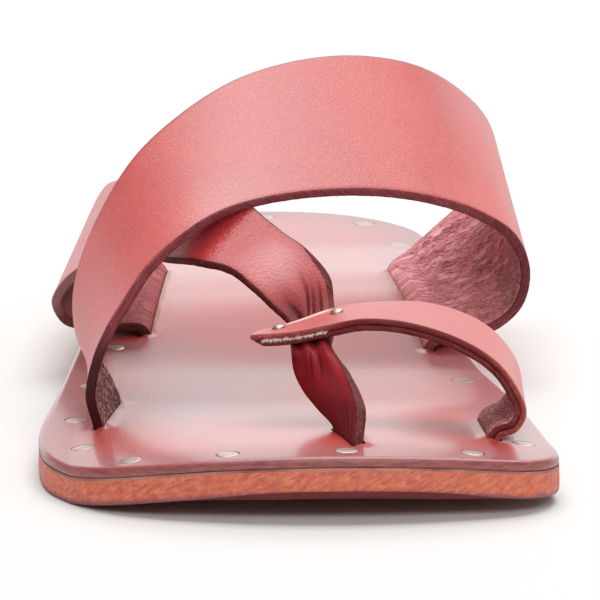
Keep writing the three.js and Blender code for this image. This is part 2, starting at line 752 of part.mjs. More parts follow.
const sandal = new THREE.Group();
sandal.name = 'sandal';
for (const piece of pieces) {
  piece.geometry.translate(-middle.x, -middle.y, -bounds.min.z);
  piece.geometry.computeVertexNormals();
  const mesh = new THREE.Mesh(piece.geometry, piece.material);
  mesh.name = piece.name;
  sandal.add(mesh);
}

export default sandal;
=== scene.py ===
"""Looks of a leather sandal for the right foot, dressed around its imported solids.

Tables and sizes are in millimetres, as (x, back, up): x towards the big-toe side, back from toe tip to heel.
Places on a strap are a row of its table, counted along it, and v, the share of its width from the front edge.
"""
import math
from collections import namedtuple

import bpy
import numpy as np
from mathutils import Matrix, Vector, noise

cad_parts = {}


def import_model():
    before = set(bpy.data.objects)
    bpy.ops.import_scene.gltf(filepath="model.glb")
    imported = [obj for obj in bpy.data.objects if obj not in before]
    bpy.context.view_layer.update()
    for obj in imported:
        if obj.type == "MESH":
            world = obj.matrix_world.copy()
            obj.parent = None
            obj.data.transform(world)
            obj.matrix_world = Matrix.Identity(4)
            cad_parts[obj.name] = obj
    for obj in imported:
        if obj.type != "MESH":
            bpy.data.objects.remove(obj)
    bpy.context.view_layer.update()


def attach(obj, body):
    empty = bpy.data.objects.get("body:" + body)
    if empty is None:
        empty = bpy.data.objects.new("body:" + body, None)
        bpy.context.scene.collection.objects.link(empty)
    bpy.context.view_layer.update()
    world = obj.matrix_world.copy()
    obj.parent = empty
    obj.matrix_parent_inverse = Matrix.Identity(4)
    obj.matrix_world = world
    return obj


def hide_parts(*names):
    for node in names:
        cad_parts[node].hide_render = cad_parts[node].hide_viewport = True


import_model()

MM = 0.001
# Table place of the frame's origin, under the middle of the solids' box
MIDDLE = (-0.687, 135.551, 0.0)
# Millimetres of leather to one unit of the UV map
UV_UNIT = 100.0
# How far one seed is from the next in the noise
SEED_STEP = (17.3, 5.1, 9.7)

# Sole
OUTSOLE_THICK = 5.2
INSOLE_THICK = 2.0
PLY_GAP = 0.3
PLY_SEAT = 0.05
SOLE_THICK = OUTSOLE_THICK + PLY_GAP + INSOLE_THICK
TOE_SPRING = 6.0
TOE_SPRING_END = (8, 80)
TOE_CROWN_X = 8
TOE_CROWN_HALF = 50
TOE_CROWN_DROP = 0.9
ARCH_BACK = (104, 168, 178, 236)
ARCH_OUTER_RISE = 1.8
ARCH_INNER_RISE = 4.7
ARCH_OUTER_X = -45
ARCH_INNER_X = 30
TOE_BEVEL_RISE = 0.7
TOE_BEVEL_WIDTH = 1.6
TOE_BEVEL_REACH = 24
TOE_BEVEL_X = (-24, -2, 24, 42)
TOE_SWELL = 1.0
TOE_SWELL_END = (4, 44)

# Outline of the sole: x, back
OUTLINE = (
    (-48.5, 26), (-38, 10.8), (-18, 2.7), (6, 0), (29, 3.2), (45, 9.8), (50.2, 19.5),
    (48.4, 38), (43, 80), (34.8, 120), (29.2, 160), (29.6, 214), (25, 250), (11, 266.5),
    (-8, 271), (-26, 265.5), (-38, 246), (-42.6, 212), (-44.2, 150), (-48.4, 92), (-51.5, 45),
)
CORNERS = (0, 6, 12, 16, 21)
OUTLINE_STEPS = 40
SOLE_ACROSS = 96
SOLE_ALONG = 240

# Edges of the plies: inset and height of the outsole's rings, inset and depth below the top of the insole's
OUTSOLE_INSET = 0.6
OUTSOLE_RINGS = (
    (0.32, 0.15), (0.10, 0.45), (0.0, 0.9), (-0.05, 1.8), (-0.05, 2.8),
    (0.0, 3.9), (0.02, 4.75), (0.0, 5.02), (0.06, 5.5),
)
WAVER_DEPTH = 0.12
WAVER_LENGTH = 14.0
INSOLE_UNDER_INSET = 0.3
INSOLE_TOP_INSET = 0.95
INSOLE_RINGS = ((0.12, 1.75), (0.0, 1.45), (0.0, 1.0), (0.08, 0.62), (0.25, 0.32), (0.5, 0.12))
SOLE_SHARP = 40
# Parts in which the distances to the rim are worked out, to spare memory
RIM_PARTS = 40

# Slits in the insole; grain_side is the side that the strap's grain faces, raw how bare the lip's leather is
Slit = namedtuple("Slit", "front_x front_back rear_x rear_back grain_side thick raw")
STRAP_THICK = 2.0
LOOP_THICK = 2.5
SLITS = {
    "instep_outer": Slit(-41, 51, -37.7, 76, -1, STRAP_THICK, 0.5),
    "instep_inner": Slit(27.6, 122, 20.4, 186, 1, STRAP_THICK, 0.6),
    "thong_outer": Slit(-33, 135, -30.2, 195, -1, STRAP_THICK, 1.0),
    "thong_toe": Slit(6.3, 34, 10.4, 11.5, -1, STRAP_THICK, 0.0),
    "loop_inner": Slit(39.2, 28, 37.6, 54, 1, LOOP_THICK, 0.0),
}
SLIT_GAP = 0.35
SLIT_MOUTH = 0.3
TAB_DEPTH = 1.9
CUT_HEIGHTS = (0.0, 40.0)
BOX_SIDES = ((0, 1, 2, 3), (7, 6, 5, 4), (4, 5, 1, 0), (5, 6, 2, 1), (6, 7, 3, 2), (7, 4, 0, 3))
LIP_RISE = 0.75
LIP_WIDTH = 1.3
LIP_PRESS = 0.3
LIP_RAW_END = (0.7, 1.3)
LIP_OVERRUN = 2.0
LIP_FADE = 1.5

# Strap sections, grain face: front x, back, up, then rear x, back, up
INSTEP_ROWS = (
    (-42.4, 49.0, 14.7, -40.3, 79, 12.6),
    (-41.0, 49.5, 21.9, -44.5, 82, 18.4),
    (-38.5, 51.5, 27.5, -45.8, 84, 25.8),
    (-34.4, 55.0, 33.6, -44.8, 87, 32.8),
    (-29.9, 59.0, 39.4, -41.4, 91, 41.4),
    (-21.6, 67.0, 45.1, -34.3, 99, 52.4),
    (-14.0, 75.0, 47.6, -25.3, 108, 59.7),
    (-2.0, 86.0, 48.2, -12.2, 121, 65.6),
    (14.3, 100, 46.3, 7.2, 142, 66.2),
    (27.2, 110, 42.7, 23.2, 157, 61.7),
    (37.1, 117, 38.1, 33.8, 170, 53.5),
    (44.1, 121, 32.6, 39.7, 178, 45.2),
    (47.2, 124, 24.7, 41.3, 184, 35.9),
    (45.9, 124.5, 17.3, 36.7, 186, 26.9),
    (41.0, 124, 12.4, 29.6, 186, 20.0),
    (33.0, 123, 9.8, 24.0, 186, 14.8),
)
THONG_ROWS = (
    (-37.5, 134.5, 9.4, -33.5, 194.5, 11.3),
    (-43.0, 133.5, 9.8, -38.0, 193.5, 13.5),
    (-48.8, 132.5, 11.5, -42.8, 192, 16.8),
    (-51.2, 132, 16.0, -44.9, 190, 21.3),
    (-49.3, 130, 20.5, -43.6, 188, 25.5),
    (-45.1, 126, 25.0, -41.3, 184, 30.1),
    (-40.2, 115, 29.5, -37.0, 168, 35.5),
    (-34.0, 98, 33.8, -27.5, 138, 48.5),
    (-27.6, 80, 36.3, -18.0, 104, 55.0),
    (-19.9, 68, 38.2, -10.6, 82, 47.9),
    (-14.1, 66, 37.2, -3.8, 76, 43.0),
    (-9.9, 64, 34.3, 1.2, 72, 40.2),
    (-5.2, 61, 30.3, 6.0, 67, 35.5),
    (-2.4, 58, 28.3, 6.7, 62, 31.3),
    (-2.0, 50, 27.4, 6.4, 51, 28.8),
    (-1.8, 41, 26.0, 6.1, 40, 27.6),
    (-1.2, 42.5, 21.2, 8.8, 29, 24.3),
    (0.6, 42, 17.3, 10.3, 21.5, 21.8),
    (3.3, 39, 14.4, 11.1, 16, 19.2),
)
LOOP_ROWS = (
    (-9.8, 43, 28.5, -8.5, 52, 27.4),
    (-1.6, 41, 29.5, -1.8, 54, 28.8),
    (5.9, 40, 31.2, 6.9, 56, 31.4),
    (12.5, 38, 32.8, 13.8, 57, 32.2),
    (21.5, 36, 32.4, 25.1, 57, 32.2),
    (31.7, 34, 29.4, 33.1, 56, 30.0),
    (39.1, 32, 24.9, 39.0, 55.5, 26.2),
    (42.8, 30, 20.1, 43.1, 55, 20.3),
    (44.3, 28.5, 15.8, 43.7, 54.5, 15.4),
    (42.4, 28, 12.3, 41.2, 54, 11.3),
)
# Rows, and the slits at both ends
INSTEP = (INSTEP_ROWS, ("instep_outer", "instep_inner"))
THONG = (THONG_ROWS, ("thong_outer", "thong_toe"))
LOOP = (LOOP_ROWS, (None, "loop_inner"))
ROW_STEP = 0.02
SOLE_LIE_HEIGHT = 8
SOLE_LIE_FADE = 4
# Rounded strap edges: radius, degrees of the points on the round, shares of the wall between the rounds
EDGE_ROUND = 0.45
EDGE_ARC = (30, 60)
EDGE_WALLS = (0.0, 0.34, 0.67, 1.0)
EDGE_LUMP = 1.0
STRAP_SHARP = 55
# Shares of the thickness at which the grain ends, the flesh begins and the nap lies
GRAIN_END = 0.3
FLESH_START = 0.7
NAP_START = 0.97
# Depths at which a grain crease and a flesh crease are fully darkened by painted shade, and the share of the
# pleats in the first
GRAIN_CREASE_DARK = 0.6
FLESH_CREASE_DARK = 0.8
PLEAT_DARK = 0.25

# The loop's two plies, one under the other, and the slant of their free end
PLY_THICK = 1.2
PLY_STEP = 1.27
END_SLANT = 2.8
END_SLANT_TOP = 0.9
END_SLANT_ROWS = 1.3

# Broad pleats of the thong at the loop, and listed creases:
# place across at the deepest row, drift a row, width across, depth, first row, deepest row, last row
PLEAT_DEPTH = 0.4
PLEAT_COUNT = 2.5
PLEAT_ROW = 14.5
PLEAT_ROWS_ABOVE = 4.5
PLEAT_ROWS_BELOW = 3.5
THONG_CREASES = (
    (0.26, -0.03, 0.034, 0.90, 11.7, 13.6, 14.8),
    (0.41, 0.13, 0.022, 0.80, 11.0, 13.3, 14.8),
    (0.51, 0.10, 0.018, 0.62, 11.6, 13.5, 14.8),
    (0.69, 0.05, 0.026, 0.66, 11.5, 13.6, 14.8),
    (0.40, 0.12, 0.026, 0.45, 15.0, 15.6, 17.0),
    (0.56, 0.12, 0.030, 0.45, 15.0, 15.6, 16.9),
    (0.75, 0.04, 0.022, 0.18, 15.0, 15.3, 15.9),
    (0.60, 0.10, 0.022, 0.16, 17.4, 18.6, 19.7),
    (0.74, 0.02, 0.020, 0.22, 17.2, 18.4, 19.6),
    (0.86, 0.05, 0.016, 0.16, 17.8, 18.8, 19.7),
)
INSTEP_CREASES = (
    (0.90, -0.05, 0.020, 0.60, 12.2, 14.2, 15.4),
    (0.77, -0.07, 0.018, 0.55, 12.0, 14.3, 15.4),
    (0.63, -0.08, 0.020, 0.55, 11.6, 14.0, 15.4),
    (0.48, -0.08, 0.018, 0.45, 12.0, 14.2, 15.4),
)
# Rows and share of width by the rear edge where the thong's grain takes the edge's material, as its rear edge
# turns up above the loop
TURN_UP_ROWS = (10.2, 12.0)
TURN_UP_SHARE = 0.12
# Flesh relief: lumps across and along
FUZZ_LUMP = (3.0, 1.7)
FUZZ_DEPTH = 0.05
FOLD_SLANT = 0.4
FOLD_LUMP = (3.2, 8.0)
FOLD_DEPTH = 0.50
FOLD_HEIGHT = (2.2, 0.7)
FOLD_BEND = 0.35
FOLD_BEND_LUMP = 1 / 1.7
CRUMPLE_LUMP = (1.1, 2.6)
CRUMPLE_DEPTH = 0.34
RAGGED_ROWS = (9.4, 10.8, 13.0, 14.2)
RAGGED_PLACE = 0.11
RAGGED_WANDER = 0.03
RAGGED_WIDTH = 0.035
RAGGED_DEPTH = 0.7
RAGGED_SHARE = 0.4

# Nail heads round the insole: x, back; profiles of the heads: radius, height
NAIL_RADIUS = 2.25
NAIL_SINK = 0.6
NAIL_GAP = 0.12
NAIL_HOLE_DEEPER = 0.1
NAIL_HOLE_TOP = 4.0
NAIL_SIDES = 32
NAILS = (
    (-33.0, 14.2), (-14.0, 8.2), (9.0, 7.0), (33.5, 11.2), (43.6, 27.5), (40.2, 66),
    (33.0, 97.3), (22.8, 204), (21.6, 233), (14.0, 257), (-7.8, 264.2), (-26.5, 256),
    (-34.4, 234), (-36.2, 210), (-38.2, 126), (-42.2, 92), (-44.6, 60), (-42.6, 34.5),
)
NAIL_PROFILE = (
    (NAIL_RADIUS * 0.96, -NAIL_SINK), (NAIL_RADIUS, -0.4), (NAIL_RADIUS, -0.08), (NAIL_RADIUS * 0.96, -0.01),
    (NAIL_RADIUS * 0.85, 0.03), (NAIL_RADIUS * 0.5, 0.06), (NAIL_RADIUS * 0.15, 0.07),
)
# Rivets on the loop: row, place across
RIVETS = ((0.66, 0.62), (2.1, 0.64))
RIVET_SIDES = 28
RIVET_PROFILE = (
    (0.7, -2.0), (0.7, -0.05), (1.38, -0.05), (1.4, 0.1), (1.3, 0.3), (1.05, 0.5), (0.65, 0.66), (0.25, 0.72),
)
SMALL_SHARP = 50

# Loose fibres of the edges
FIBRE_ROOT = 0.16
FIBRE_LEAN = 70
FIBRE_BENDS = ((0.0, 0.0), (0.5, 0.10), (1.0, 0.34))
FIBRE_TAPER = 0.8
FIBRE_SIDES = 3
# Frays: rows from start to end, and the waves that scatter their places and depths
LOOP_FIBRES = 800
LOOP_FRAY_ROWS = (0.28, 1.88)
LOOP_FRAY_CROWDING = 1.15
LOOP_TUFT_WAVES = (19.0, 43.0)
LOOP_TUFT_SHIFT = 1.0
LOOP_TUFT_GAP = 0.35
LOOP_FRAY_DEPTH = (0.1, 0.06, 0.14)
INSTEP_FIBRES = 150
INSTEP_FRAY_ROWS = (0.6, 12.6)
INSTEP_FRAY_DEPTH = (-0.12, 0.08)
SCATTER = (12.9898, 4.1414)
ROW_JITTER = 0.05


def smooth(start, stop, value):
    """Rise from 0 to 1 with level ends."""
    t = np.clip((np.asarray(value, float) - start) / (stop - start), 0, 1)
    return t * t * (3 - 2 * t)


def band(value, start, full, fade, stop):
    """1 from full to fade, and 0 before start and after stop."""
    return smooth(start, full, value) * (1 - smooth(fade, stop, value))


def unit(vectors):
    """Vectors brought to length 1."""
    return vectors / np.linalg.norm(vectors, axis=-1, keepdims=True)


def running_length(points):
    """Length of a line up to each of its points."""
    return np.concatenate(([0], np.cumsum(np.linalg.norm(np.diff(points, axis=0), axis=1))))


def lift_at(x, back):
    """Height that toe spring and arch lift the sole off the floor."""
    aside = (x - TOE_CROWN_X) / TOE_CROWN_HALF
    crown = np.maximum(1 - TOE_CROWN_DROP * aside * aside, 0)
    toe = TOE_SPRING * (1 - smooth(*TOE_SPRING_END, back)) * crown
    inward = np.clip((x - ARCH_OUTER_X) / (ARCH_INNER_X - ARCH_OUTER_X), 0, 1)
    rise = ARCH_OUTER_RISE + (ARCH_INNER_RISE - ARCH_OUTER_RISE) * inward
    return toe + rise * band(back, *ARCH_BACK)


def sole_top(x, back):
    """Height of the insole's grain, without the lips of its slits."""
    return SOLE_THICK + lift_at(x, back)


def curve(rows, t, closed=False):
    """Points of a smooth centripetal curve through the rows, at shares t of its rows."""
    p = np.asarray(rows, float)
    n = len(p)
    if closed:
        place = np.asarray(t, float) * n
        k = np.floor(place).astype(int)
        q = [p[(k + s) % n] for s in (-1, 0, 1, 2)]
    else:
        place = np.asarray(t, float) * (n - 1)
        k = np.clip(np.floor(place).astype(int), 0, n - 2)
        padded = np.vstack((2 * p[0] - p[1], p, 2 * p[-1] - p[-2]))
        q = [padded[k + s] for s in range(4)]
    w = (place - k)[..., None]
    least = 1e-4
    gaps = [np.sqrt(np.linalg.norm(q[s + 1] - q[s], axis=-1, keepdims=True)) for s in range(3)]
    gaps = [np.maximum(gap, least) for gap in gaps]
    out = (q[1] - q[0]) / gaps[0] - (q[2] - q[0]) / (gaps[0] + gaps[1]) + (q[2] - q[1]) / gaps[1]
    into = (q[2] - q[1]) / gaps[1] - (q[3] - q[1]) / (gaps[1] + gaps[2]) + (q[3] - q[2]) / gaps[2]
    out = out * gaps[1]
    into = into * gaps[1]
    square = -3 * q[1] + 3 * q[2] - 2 * out - into
    cube = 2 * q[1] - 2 * q[2] + out + into
    return q[1] + out * w + square * w * w + cube * w ** 3


def outline_at(position, inset=0.0):
    """Points of the sole's outline at row positions, moved inwards by the inset."""
    t = np.asarray(position, float) / len(OUTLINE)
    step = 1e-4
    along = unit(curve(OUTLINE, t + step, closed=True) - curve(OUTLINE, t - step, closed=True))
    inward = np.stack((-along[..., 1], along[..., 0]), -1)
    return curve(OUTLINE, t, closed=True) + inward * np.asarray(inset, float)[..., None]


def side_positions(first, last, count):
    """Row positions that part one side of the outline into equal lengths."""
    fine = np.linspace(first, last, int((last - first) * OUTLINE_STEPS) + 1)
    length = running_length(outline_at(fine))
    return np.interp(np.linspace(0, length[-1], count + 1), length, fine)


# Toe, inner side, heel and outer side, each from the outer or the toe end
SIDES = (
    side_positions(CORNERS[0], CORNERS[1], SOLE_ACROSS),
    side_positions(CORNERS[1], CORNERS[2], SOLE_ALONG),
    side_positions(CORNERS[2], CORNERS[3], SOLE_ACROSS)[::-1],
    side_positions(CORNERS[3], CORNERS[4], SOLE_ALONG)[::-1],
)


def sole_grid(inset_at):
    """Grid of points filling the outline, blended from its four sides."""
    toe, inner, heel, outer = (outline_at(s, inset_at(s)) for s in SIDES)
    v = np.linspace(0, 1, SOLE_ALONG + 1)[:, None, None]
    u = np.linspace(0, 1, SOLE_ACROSS + 1)[None, :, None]
    ends = toe[None] * (1 - v) + heel[None] * v
    sides = outer[:, None] * (1 - u) + inner[:, None] * u
    front = toe[0] * (1 - u) + toe[-1] * u
    rear = heel[0] * (1 - u) + heel[-1] * u
    return ends + sides - front * (1 - v) - rear * v


def rim_order():
    """Grid places and row positions of the rim, in order round the sole."""
    places = [(0, j, SIDES[0][j]) for j in range(SOLE_ACROSS)]
    places += [(i, SOLE_ACROSS, SIDES[1][i]) for i in range(SOLE_ALONG)]
    places += [(SOLE_ALONG, j, SIDES[2][j]) for j in range(SOLE_ACROSS, 0, -1)]
    places += [(i, 0, SIDES[3][i]) for i in range(SOLE_ALONG, 0, -1)]
    return places


RIM = rim_order()
RIM_POSITIONS = np.array([place[2] for place in RIM])


def rough(points, size, seed, octaves=2):
    """Soft noise at millimetre points, about -1 to 1, with lumps of the given size."""
    shift = Vector([seed * step for step in SEED_STEP])
    flat = np.asarray(points, float).reshape(-1, 3) / size
    values = [noise.fractal(Vector(p) + shift, 1.0, 2.0, octaves) for p in flat]
    return np.array(values).reshape(np.shape(points)[:-1])


# Meshes and objects

def placed(points):
    """Table millimetres to the frame's metres."""
    return (np.asarray(points, float) - MIDDLE) * MM


def table_points(mesh):
    """Points of a mesh in table millimetres."""
    at = np.empty(len(mesh.vertices) * 3, np.float32)
    mesh.vertices.foreach_get("co", at)
    return at.reshape(-1, 3) / MM + MIDDLE


def add_object(name, data):
    """Object of a mesh, a light or a camera, in the scene."""
    made = bpy.data.objects.new(name, data)
    bpy.context.scene.collection.objects.link(made)
    return made


def store(mesh, field, values):
    """Keeps a value for each point on a mesh, for its materials to read."""
    layer = mesh.attributes.new(field, "FLOAT", "POINT")
    layer.data.foreach_set("value", np.asarray(values, np.float32).ravel())


def shade(mesh, sharp):
    """Smooth shading, apart from edges sharper than an angle in degrees."""
    mesh.shade_smooth()
    mesh.set_sharp_from_angle(angle=math.radians(sharp))


def make_piece(name, points, faces, face_slots, materials, loop_uvs=None, fields=None, sharp=SOLE_SHARP):
    """Mesh object from millimetre points, with material slots, a UV map and values on its points."""
    mesh = bpy.data.meshes.new(name)
    mesh.from_pydata(placed(points).tolist(), [], faces)
    for material in materials:
        mesh.materials.append(material)
    mesh.polygons.foreach_set("material_index", np.asarray(face_slots, np.int32))
    if loop_uvs is not None:
        layer = mesh.uv_layers.new(name="cut")
        layer.data.foreach_set("uv", (np.asarray(loop_uvs, np.float32) / UV_UNIT).ravel())
    for field, values in (fields or {}).items():
        store(mesh, field, values)
    shade(mesh, sharp)
    mesh.validate()
    return add_object(name, mesh)


def applied(piece, name):
    """Plain mesh object of a piece with its modifiers applied, in place of the piece."""
    bpy.context.view_layer.update()
    shaped = piece.evaluated_get(bpy.context.evaluated_depsgraph_get())
    mesh = bpy.data.meshes.new_from_object(shaped)
    mesh.name = name
    bpy.data.objects.remove(piece)
    return add_object(name, mesh)


# Materials

def linear(code):
    """Linear RGBA of an sRGB hex colour."""
    parts = [int(code[i:i + 2], 16) / 255 for i in (1, 3, 5)]
    return [c / 12.92 if c <= 0.04045 else ((c + 0.055) / 1.055) ** 2.4 for c in parts] + [1.0]


def add_node(tree, kind, settings=None, links=None):
    """Adds a node; settings go to its properties or, by name or number, to its sockets."""
    made = tree.nodes.new(kind)
    for key, value in (settings or {}).items():
        if isinstance(key, str) and hasattr(made, key):
            setattr(made, key, value)
        else:
            made.inputs[key].default_value = value
    for key, source in (links or {}).items():
        tree.links.new(source, made.inputs[key])
    return made


def make_material(name, patterns=None, mixes=None, ground=(), dyes=(), reliefs=(), gloss=(), sockets=None):
    """Node material from plain tables.

    patterns: name to map, size of its features in mm, turn in degrees, and detail and roughness of its noise.
    Without the last two it is made of cells. The map is "solid", or "cut" where it follows the leather.
    mixes: name to a math operation and the rows that it joins.
    ground: a source, then its values with the tone at each.
    dyes: rows, each followed by the tone that it lays over what is below.
    reliefs: rows, each followed by a depth in mm and a strength.
    gloss: rows that add up to the roughness.
    sockets: values of the shader that are the same all over.
    A row is a source, and a span of its values with the results at its two ends where it is mapped.
    A source is a pattern, a mix or a value stored on the mesh.
    """
    material = bpy.data.materials.new(name)
    material.use_nodes = True
    tree = material.node_tree
    tree.nodes.clear()
    shader = add_node(tree, "ShaderNodeBsdfPrincipled", sockets)
    add_node(tree, "ShaderNodeOutputMaterial", links={"Surface": shader.outputs["BSDF"]})
    sources = {}

    def joined(rows, operation="ADD"):
        """Value that rows give together."""
        result = None
        for source, *span in rows:
            if source not in sources:
                stored = add_node(tree, "ShaderNodeAttribute", {"attribute_name": source})
                sources[source] = stored.outputs["Fac"]
            value = sources[source]
            if span:
                ends = dict(zip(("From Min", "From Max", "To Min", "To Max"), span))
                value = add_node(tree, "ShaderNodeMapRange", ends, {"Value": value}).outputs["Result"]
            if result is not None:
                both = {0: result, 1: value}
                value = add_node(tree, "ShaderNodeMath", {"operation": operation}, both).outputs[0]
            result = value
        return result

    for key, (chart, size, turn, *texture) in (patterns or {}).items():
        if chart == "cut":
            where = add_node(tree, "ShaderNodeUVMap", {"uv_map": "cut"}).outputs["UV"]
            scale = np.broadcast_to(size, 3) / UV_UNIT
        else:
            where = add_node(tree, "ShaderNodeTexCoord").outputs["Object"]
            scale = np.broadcast_to(size, 3) * MM
        turned = (0.0, 0.0, math.radians(turn))
        spread = {"vector_type": "TEXTURE", "Scale": scale.tolist(), "Rotation": turned}
        mapped = {"Vector": add_node(tree, "ShaderNodeMapping", spread, {"Vector": where}).outputs["Vector"]}
        if texture:
            soft = {"Scale": 1.0, "Detail": texture[0], "Roughness": texture[1]}
            sources[key] = add_node(tree, "ShaderNodeTexNoise", soft, mapped).outputs["Fac"]
        else:
            cells = {"feature": "SMOOTH_F1", "Scale": 1.0, "Smoothness": 0.5}
            sources[key] = add_node(tree, "ShaderNodeTexVoronoi", cells, mapped).outputs["Distance"]
    for key, (operation, *rows) in (mixes or {}).items():
        sources[key] = joined(rows, operation)
    if ground:
        source, *stops = ground
        ramp = add_node(tree, "ShaderNodeValToRGB", links={"Fac": sources[source]})
        marks = ramp.color_ramp.elements
        while len(marks) < len(stops):
            marks.new(0.5)
        for mark, (place, code) in zip(marks, stops):
            mark.position = place
            mark.color = linear(code)
        tone = ramp.outputs["Color"]
        # Inputs 6 and 7 and output 2 of the Mix node are its colours
        for *row, code in dyes:
            over = {"data_type": "RGBA", 7: linear(code)}
            tone = add_node(tree, "ShaderNodeMix", over, {0: joined([row]), 6: tone}).outputs[2]
        tree.links.new(tone, shader.inputs["Base Color"])
    below = {}
    for *row, depth, strength in reliefs:
        raised = {"Strength": strength, "Distance": depth * MM}
        bump = add_node(tree, "ShaderNodeBump", raised, {"Height": joined([row]), **below})
        below = {"Normal": bump.outputs["Normal"]}
    for key, source in below.items():
        tree.links.new(source, shader.inputs[key])
    if gloss:
        tree.links.new(joined(gloss), shader.inputs["Roughness"])
    return material


def strap_grain(name, tones, dust, crease_shade, worn_and_highlight, grain, depth, shine, satin):
    """Drum-dyed calf grain: cloudy dye, satin finish, pebbles, and painted shade in its creases and shaded
    patches.

    The pebbles and the dust are coarser than on calf, so that they show.
    """
    return make_material(
        name,
        {
            "cloud": ("solid", 22, 0, 3, 0.6),
            "fleck": ("solid", 1.3, 0, 3, 0.6),
            "dust": ("solid", 0.45, 0, 2, 0.6),
            "pebble": ("solid", grain, 0),
            "fine": ("solid", grain * 0.6, 0, 2, 0.5),
        },
        ground=("cloud", (0.30, tones[0]), (0.52, tones[1]), (0.72, tones[2])),
        dyes=(
            ("fleck", 0.45, 0.75, 0.0, 0.30, tones[0]),
            ("dust", 0.50, 0.76, 0.0, 0.40, dust),
            ("dust", 0.28, 0.46, 0.22, 0.0, crease_shade),
            # Painted shade in creases and in the shaded patches, in the crease tone
            ("crease_shade", crease_shade),
            ("rim", 0.3, 1.5, 0.55, 0.0, crease_shade),
            # Pale tone where the grain is worn, and for painted highlights
            ("worn_and_highlight", worn_and_highlight),
        ),
        reliefs=(("pebble", 0.0, 0.8, 1.0, 0.0, depth, 0.7), ("fine", depth * 0.6, 0.5)),
        gloss=(("cloud", 0.3, 0.7, *satin), ("crease_shade", 0.0, 0.6, 0.0, 0.35)),
        sockets={
            "Specular IOR Level": shine,
            "Sheen Weight": 0.12,
            "Sheen Tint": linear(tones[2]),
            "Sheen Roughness": 0.4,
        },
    )


def burnished_edge(name, dark, light, deep, fleck, flecks, roughness=0.6, shine=0.12):
    """Cut strap edge, dyed and rubbed: dark, half smooth, with a few raw fibres showing."""
    return make_material(
        name,
        {"streak": ("cut", (4.0, 0.7, 1.0), 0, 4, 0.65), "speck": ("solid", 0.55, 0, 2, 0.6)},
        {"rubbed_and_lit": ("MULTIPLY", ("worn_and_highlight",), ("streak", 0.35, 0.60, 0.45, 1.0))},
        ground=("streak", (0.32, dark), (0.70, light)),
        dyes=(
            ("speck", 0.62, 0.74, 0.0, flecks, fleck),
            ("shade", deep),
            # Orange where the edge is rubbed raw; on the loop's outer turn it is also a painted highlight
            ("rubbed_and_lit", "#b0603c"),
        ),
        reliefs=(("streak", 0.25, 0.5), ("speck", 0.15, 0.5)),
        sockets={"Roughness": roughness, "Specular IOR Level": shine},
    )


def flesh_side(name, tones, strand, turn, fold_share):
    """Split underside of the leather: crumpled, matt, a little furry, with painted shade in its creases and
    pale loose fibres where worn.
    """
    return make_material(
        name,
        {
            "strand": ("cut", (*strand, 1.0), turn, 3, 0.6),
            "fuzz": ("solid", 0.9, 0, 4, 0.7),
            "curl": ("solid", 0.75, 0, 1, 0.4),
        },
        {
            "hill": ("MAXIMUM", ("strand", 0.50, 0.59, 0.0, 1.0), ("strand", 0.41, 0.50, 1.0, 0.0)),
            "fibres": ("MULTIPLY", ("curl", 0.54, 0.63, 0.0, 0.8), ("worn_and_highlight",)),
        },
        ground=("strand", (0.25, tones[0]), (0.46, tones[1]), (0.80, tones[2])),
        dyes=(
            ("fuzz", 0.45, 0.75, 0.0, 0.35, tones[2]),
            # Painted shade along the creases between the folds, and in the flesh's deeper creases
            ("hill", 0.0, 0.5, 0.8 * fold_share, 0.0, tones[0]),
            ("crease_shade", tones[0]),
            ("shade", "#3b181c"),
            ("worn_and_highlight", 0.0, 1.0, 0.0, 0.22, "#a86c6e"),
            ("fibres", "#e0c8c3"),
        ),
        reliefs=(("hill", 0.6, fold_share), ("fuzz", 0.25, 0.6), ("fibres", 0.3, 0.8)),
        sockets={
            "Roughness": 0.85,
            "Specular IOR Level": 0.3,
            "Sheen Weight": 0.3,
            "Sheen Roughness": 0.5,
            "Sheen Tint": linear(tones[2]),
        },
    )


def glazed_insole():
    """Glazed red insole grain: polished by rubbing, so it mirrors softly at a low angle."""
    return make_material(
        "glazed_red_leather",
        {
            "cloud": ("solid", 30, 0, 3, 0.6),
            "grain": ("solid", 0.8, 0, 3, 0.6),
            "crackle": ("solid", (0.42, 3.2, 3.2), 0, 3, 0.6),
        },
        ground=("cloud", (0.30, "#a63634"), (0.50, "#b3403c"), (0.72, "#bd4b45")),
        dyes=(
            ("grain", 0.45, 0.75, 0.0, 0.12, "#93292b"),
            ("rim", 2.0, 16.0, 0.75, 0.0, "#7a3034"),
            ("lip", 0.2, 0.8, 0.0, 0.9, "#93532f"),
        ),
        reliefs=(("grain", 0.02, 0.3), ("crackle", 0.14, 0.75)),
        gloss=(("cloud", 0.35, 0.7, 0.36, 0.42), ("lip", 0.2, 0.8, 0.0, 0.4)),
        sockets={"Specular IOR Level": 0.3, "Coat Weight": 0.35, "Coat Roughness": 0.16},
    )


def sole_edge():
    """Cut edge of the sole bend: raw orange-tan fibres, dyed darker and rubbed along the lower line."""
    return make_material(
        "sole_bend_cut_edge",
        {
            "strand": ("cut", (2.4, 0.8, 1.0), 28, 5, 0.7),
            "patch": ("solid", 9, 0, 3, 0.6),
            "blotch": ("solid", 2.4, 0, 2, 0.5),
            "speck": ("solid", 0.6, 0, 3, 0.65),
            "teeth": ("cut", (2.2, 0.9, 1.0), 40, 2, 0.55),
        },
        {"ragged": ("ADD", ("teeth", 0.0, 1.0, 0.0, 1.6), ("height", 0.4, 1.7, 1.0, 0.0))},
        ground=("strand", (0.30, "#96382f"), (0.50, "#c95f46"), (0.70, "#de8266")),
        dyes=(
            ("patch", 0.40, 0.70, 0.0, 0.45, "#d26743"),
            ("blotch", 0.50, 0.66, 0.0, 0.60, "#b24c44"),
            ("speck", 0.58, 0.74, 0.0, 0.55, "#8f4740"),
            ("ragged", 1.05, 1.65, 0.0, 0.9, "#7d4449"),
        ),
        reliefs=(("strand", 0.35, 0.6), ("speck", 0.2, 0.5)),
        sockets={"Roughness": 0.6},
    )


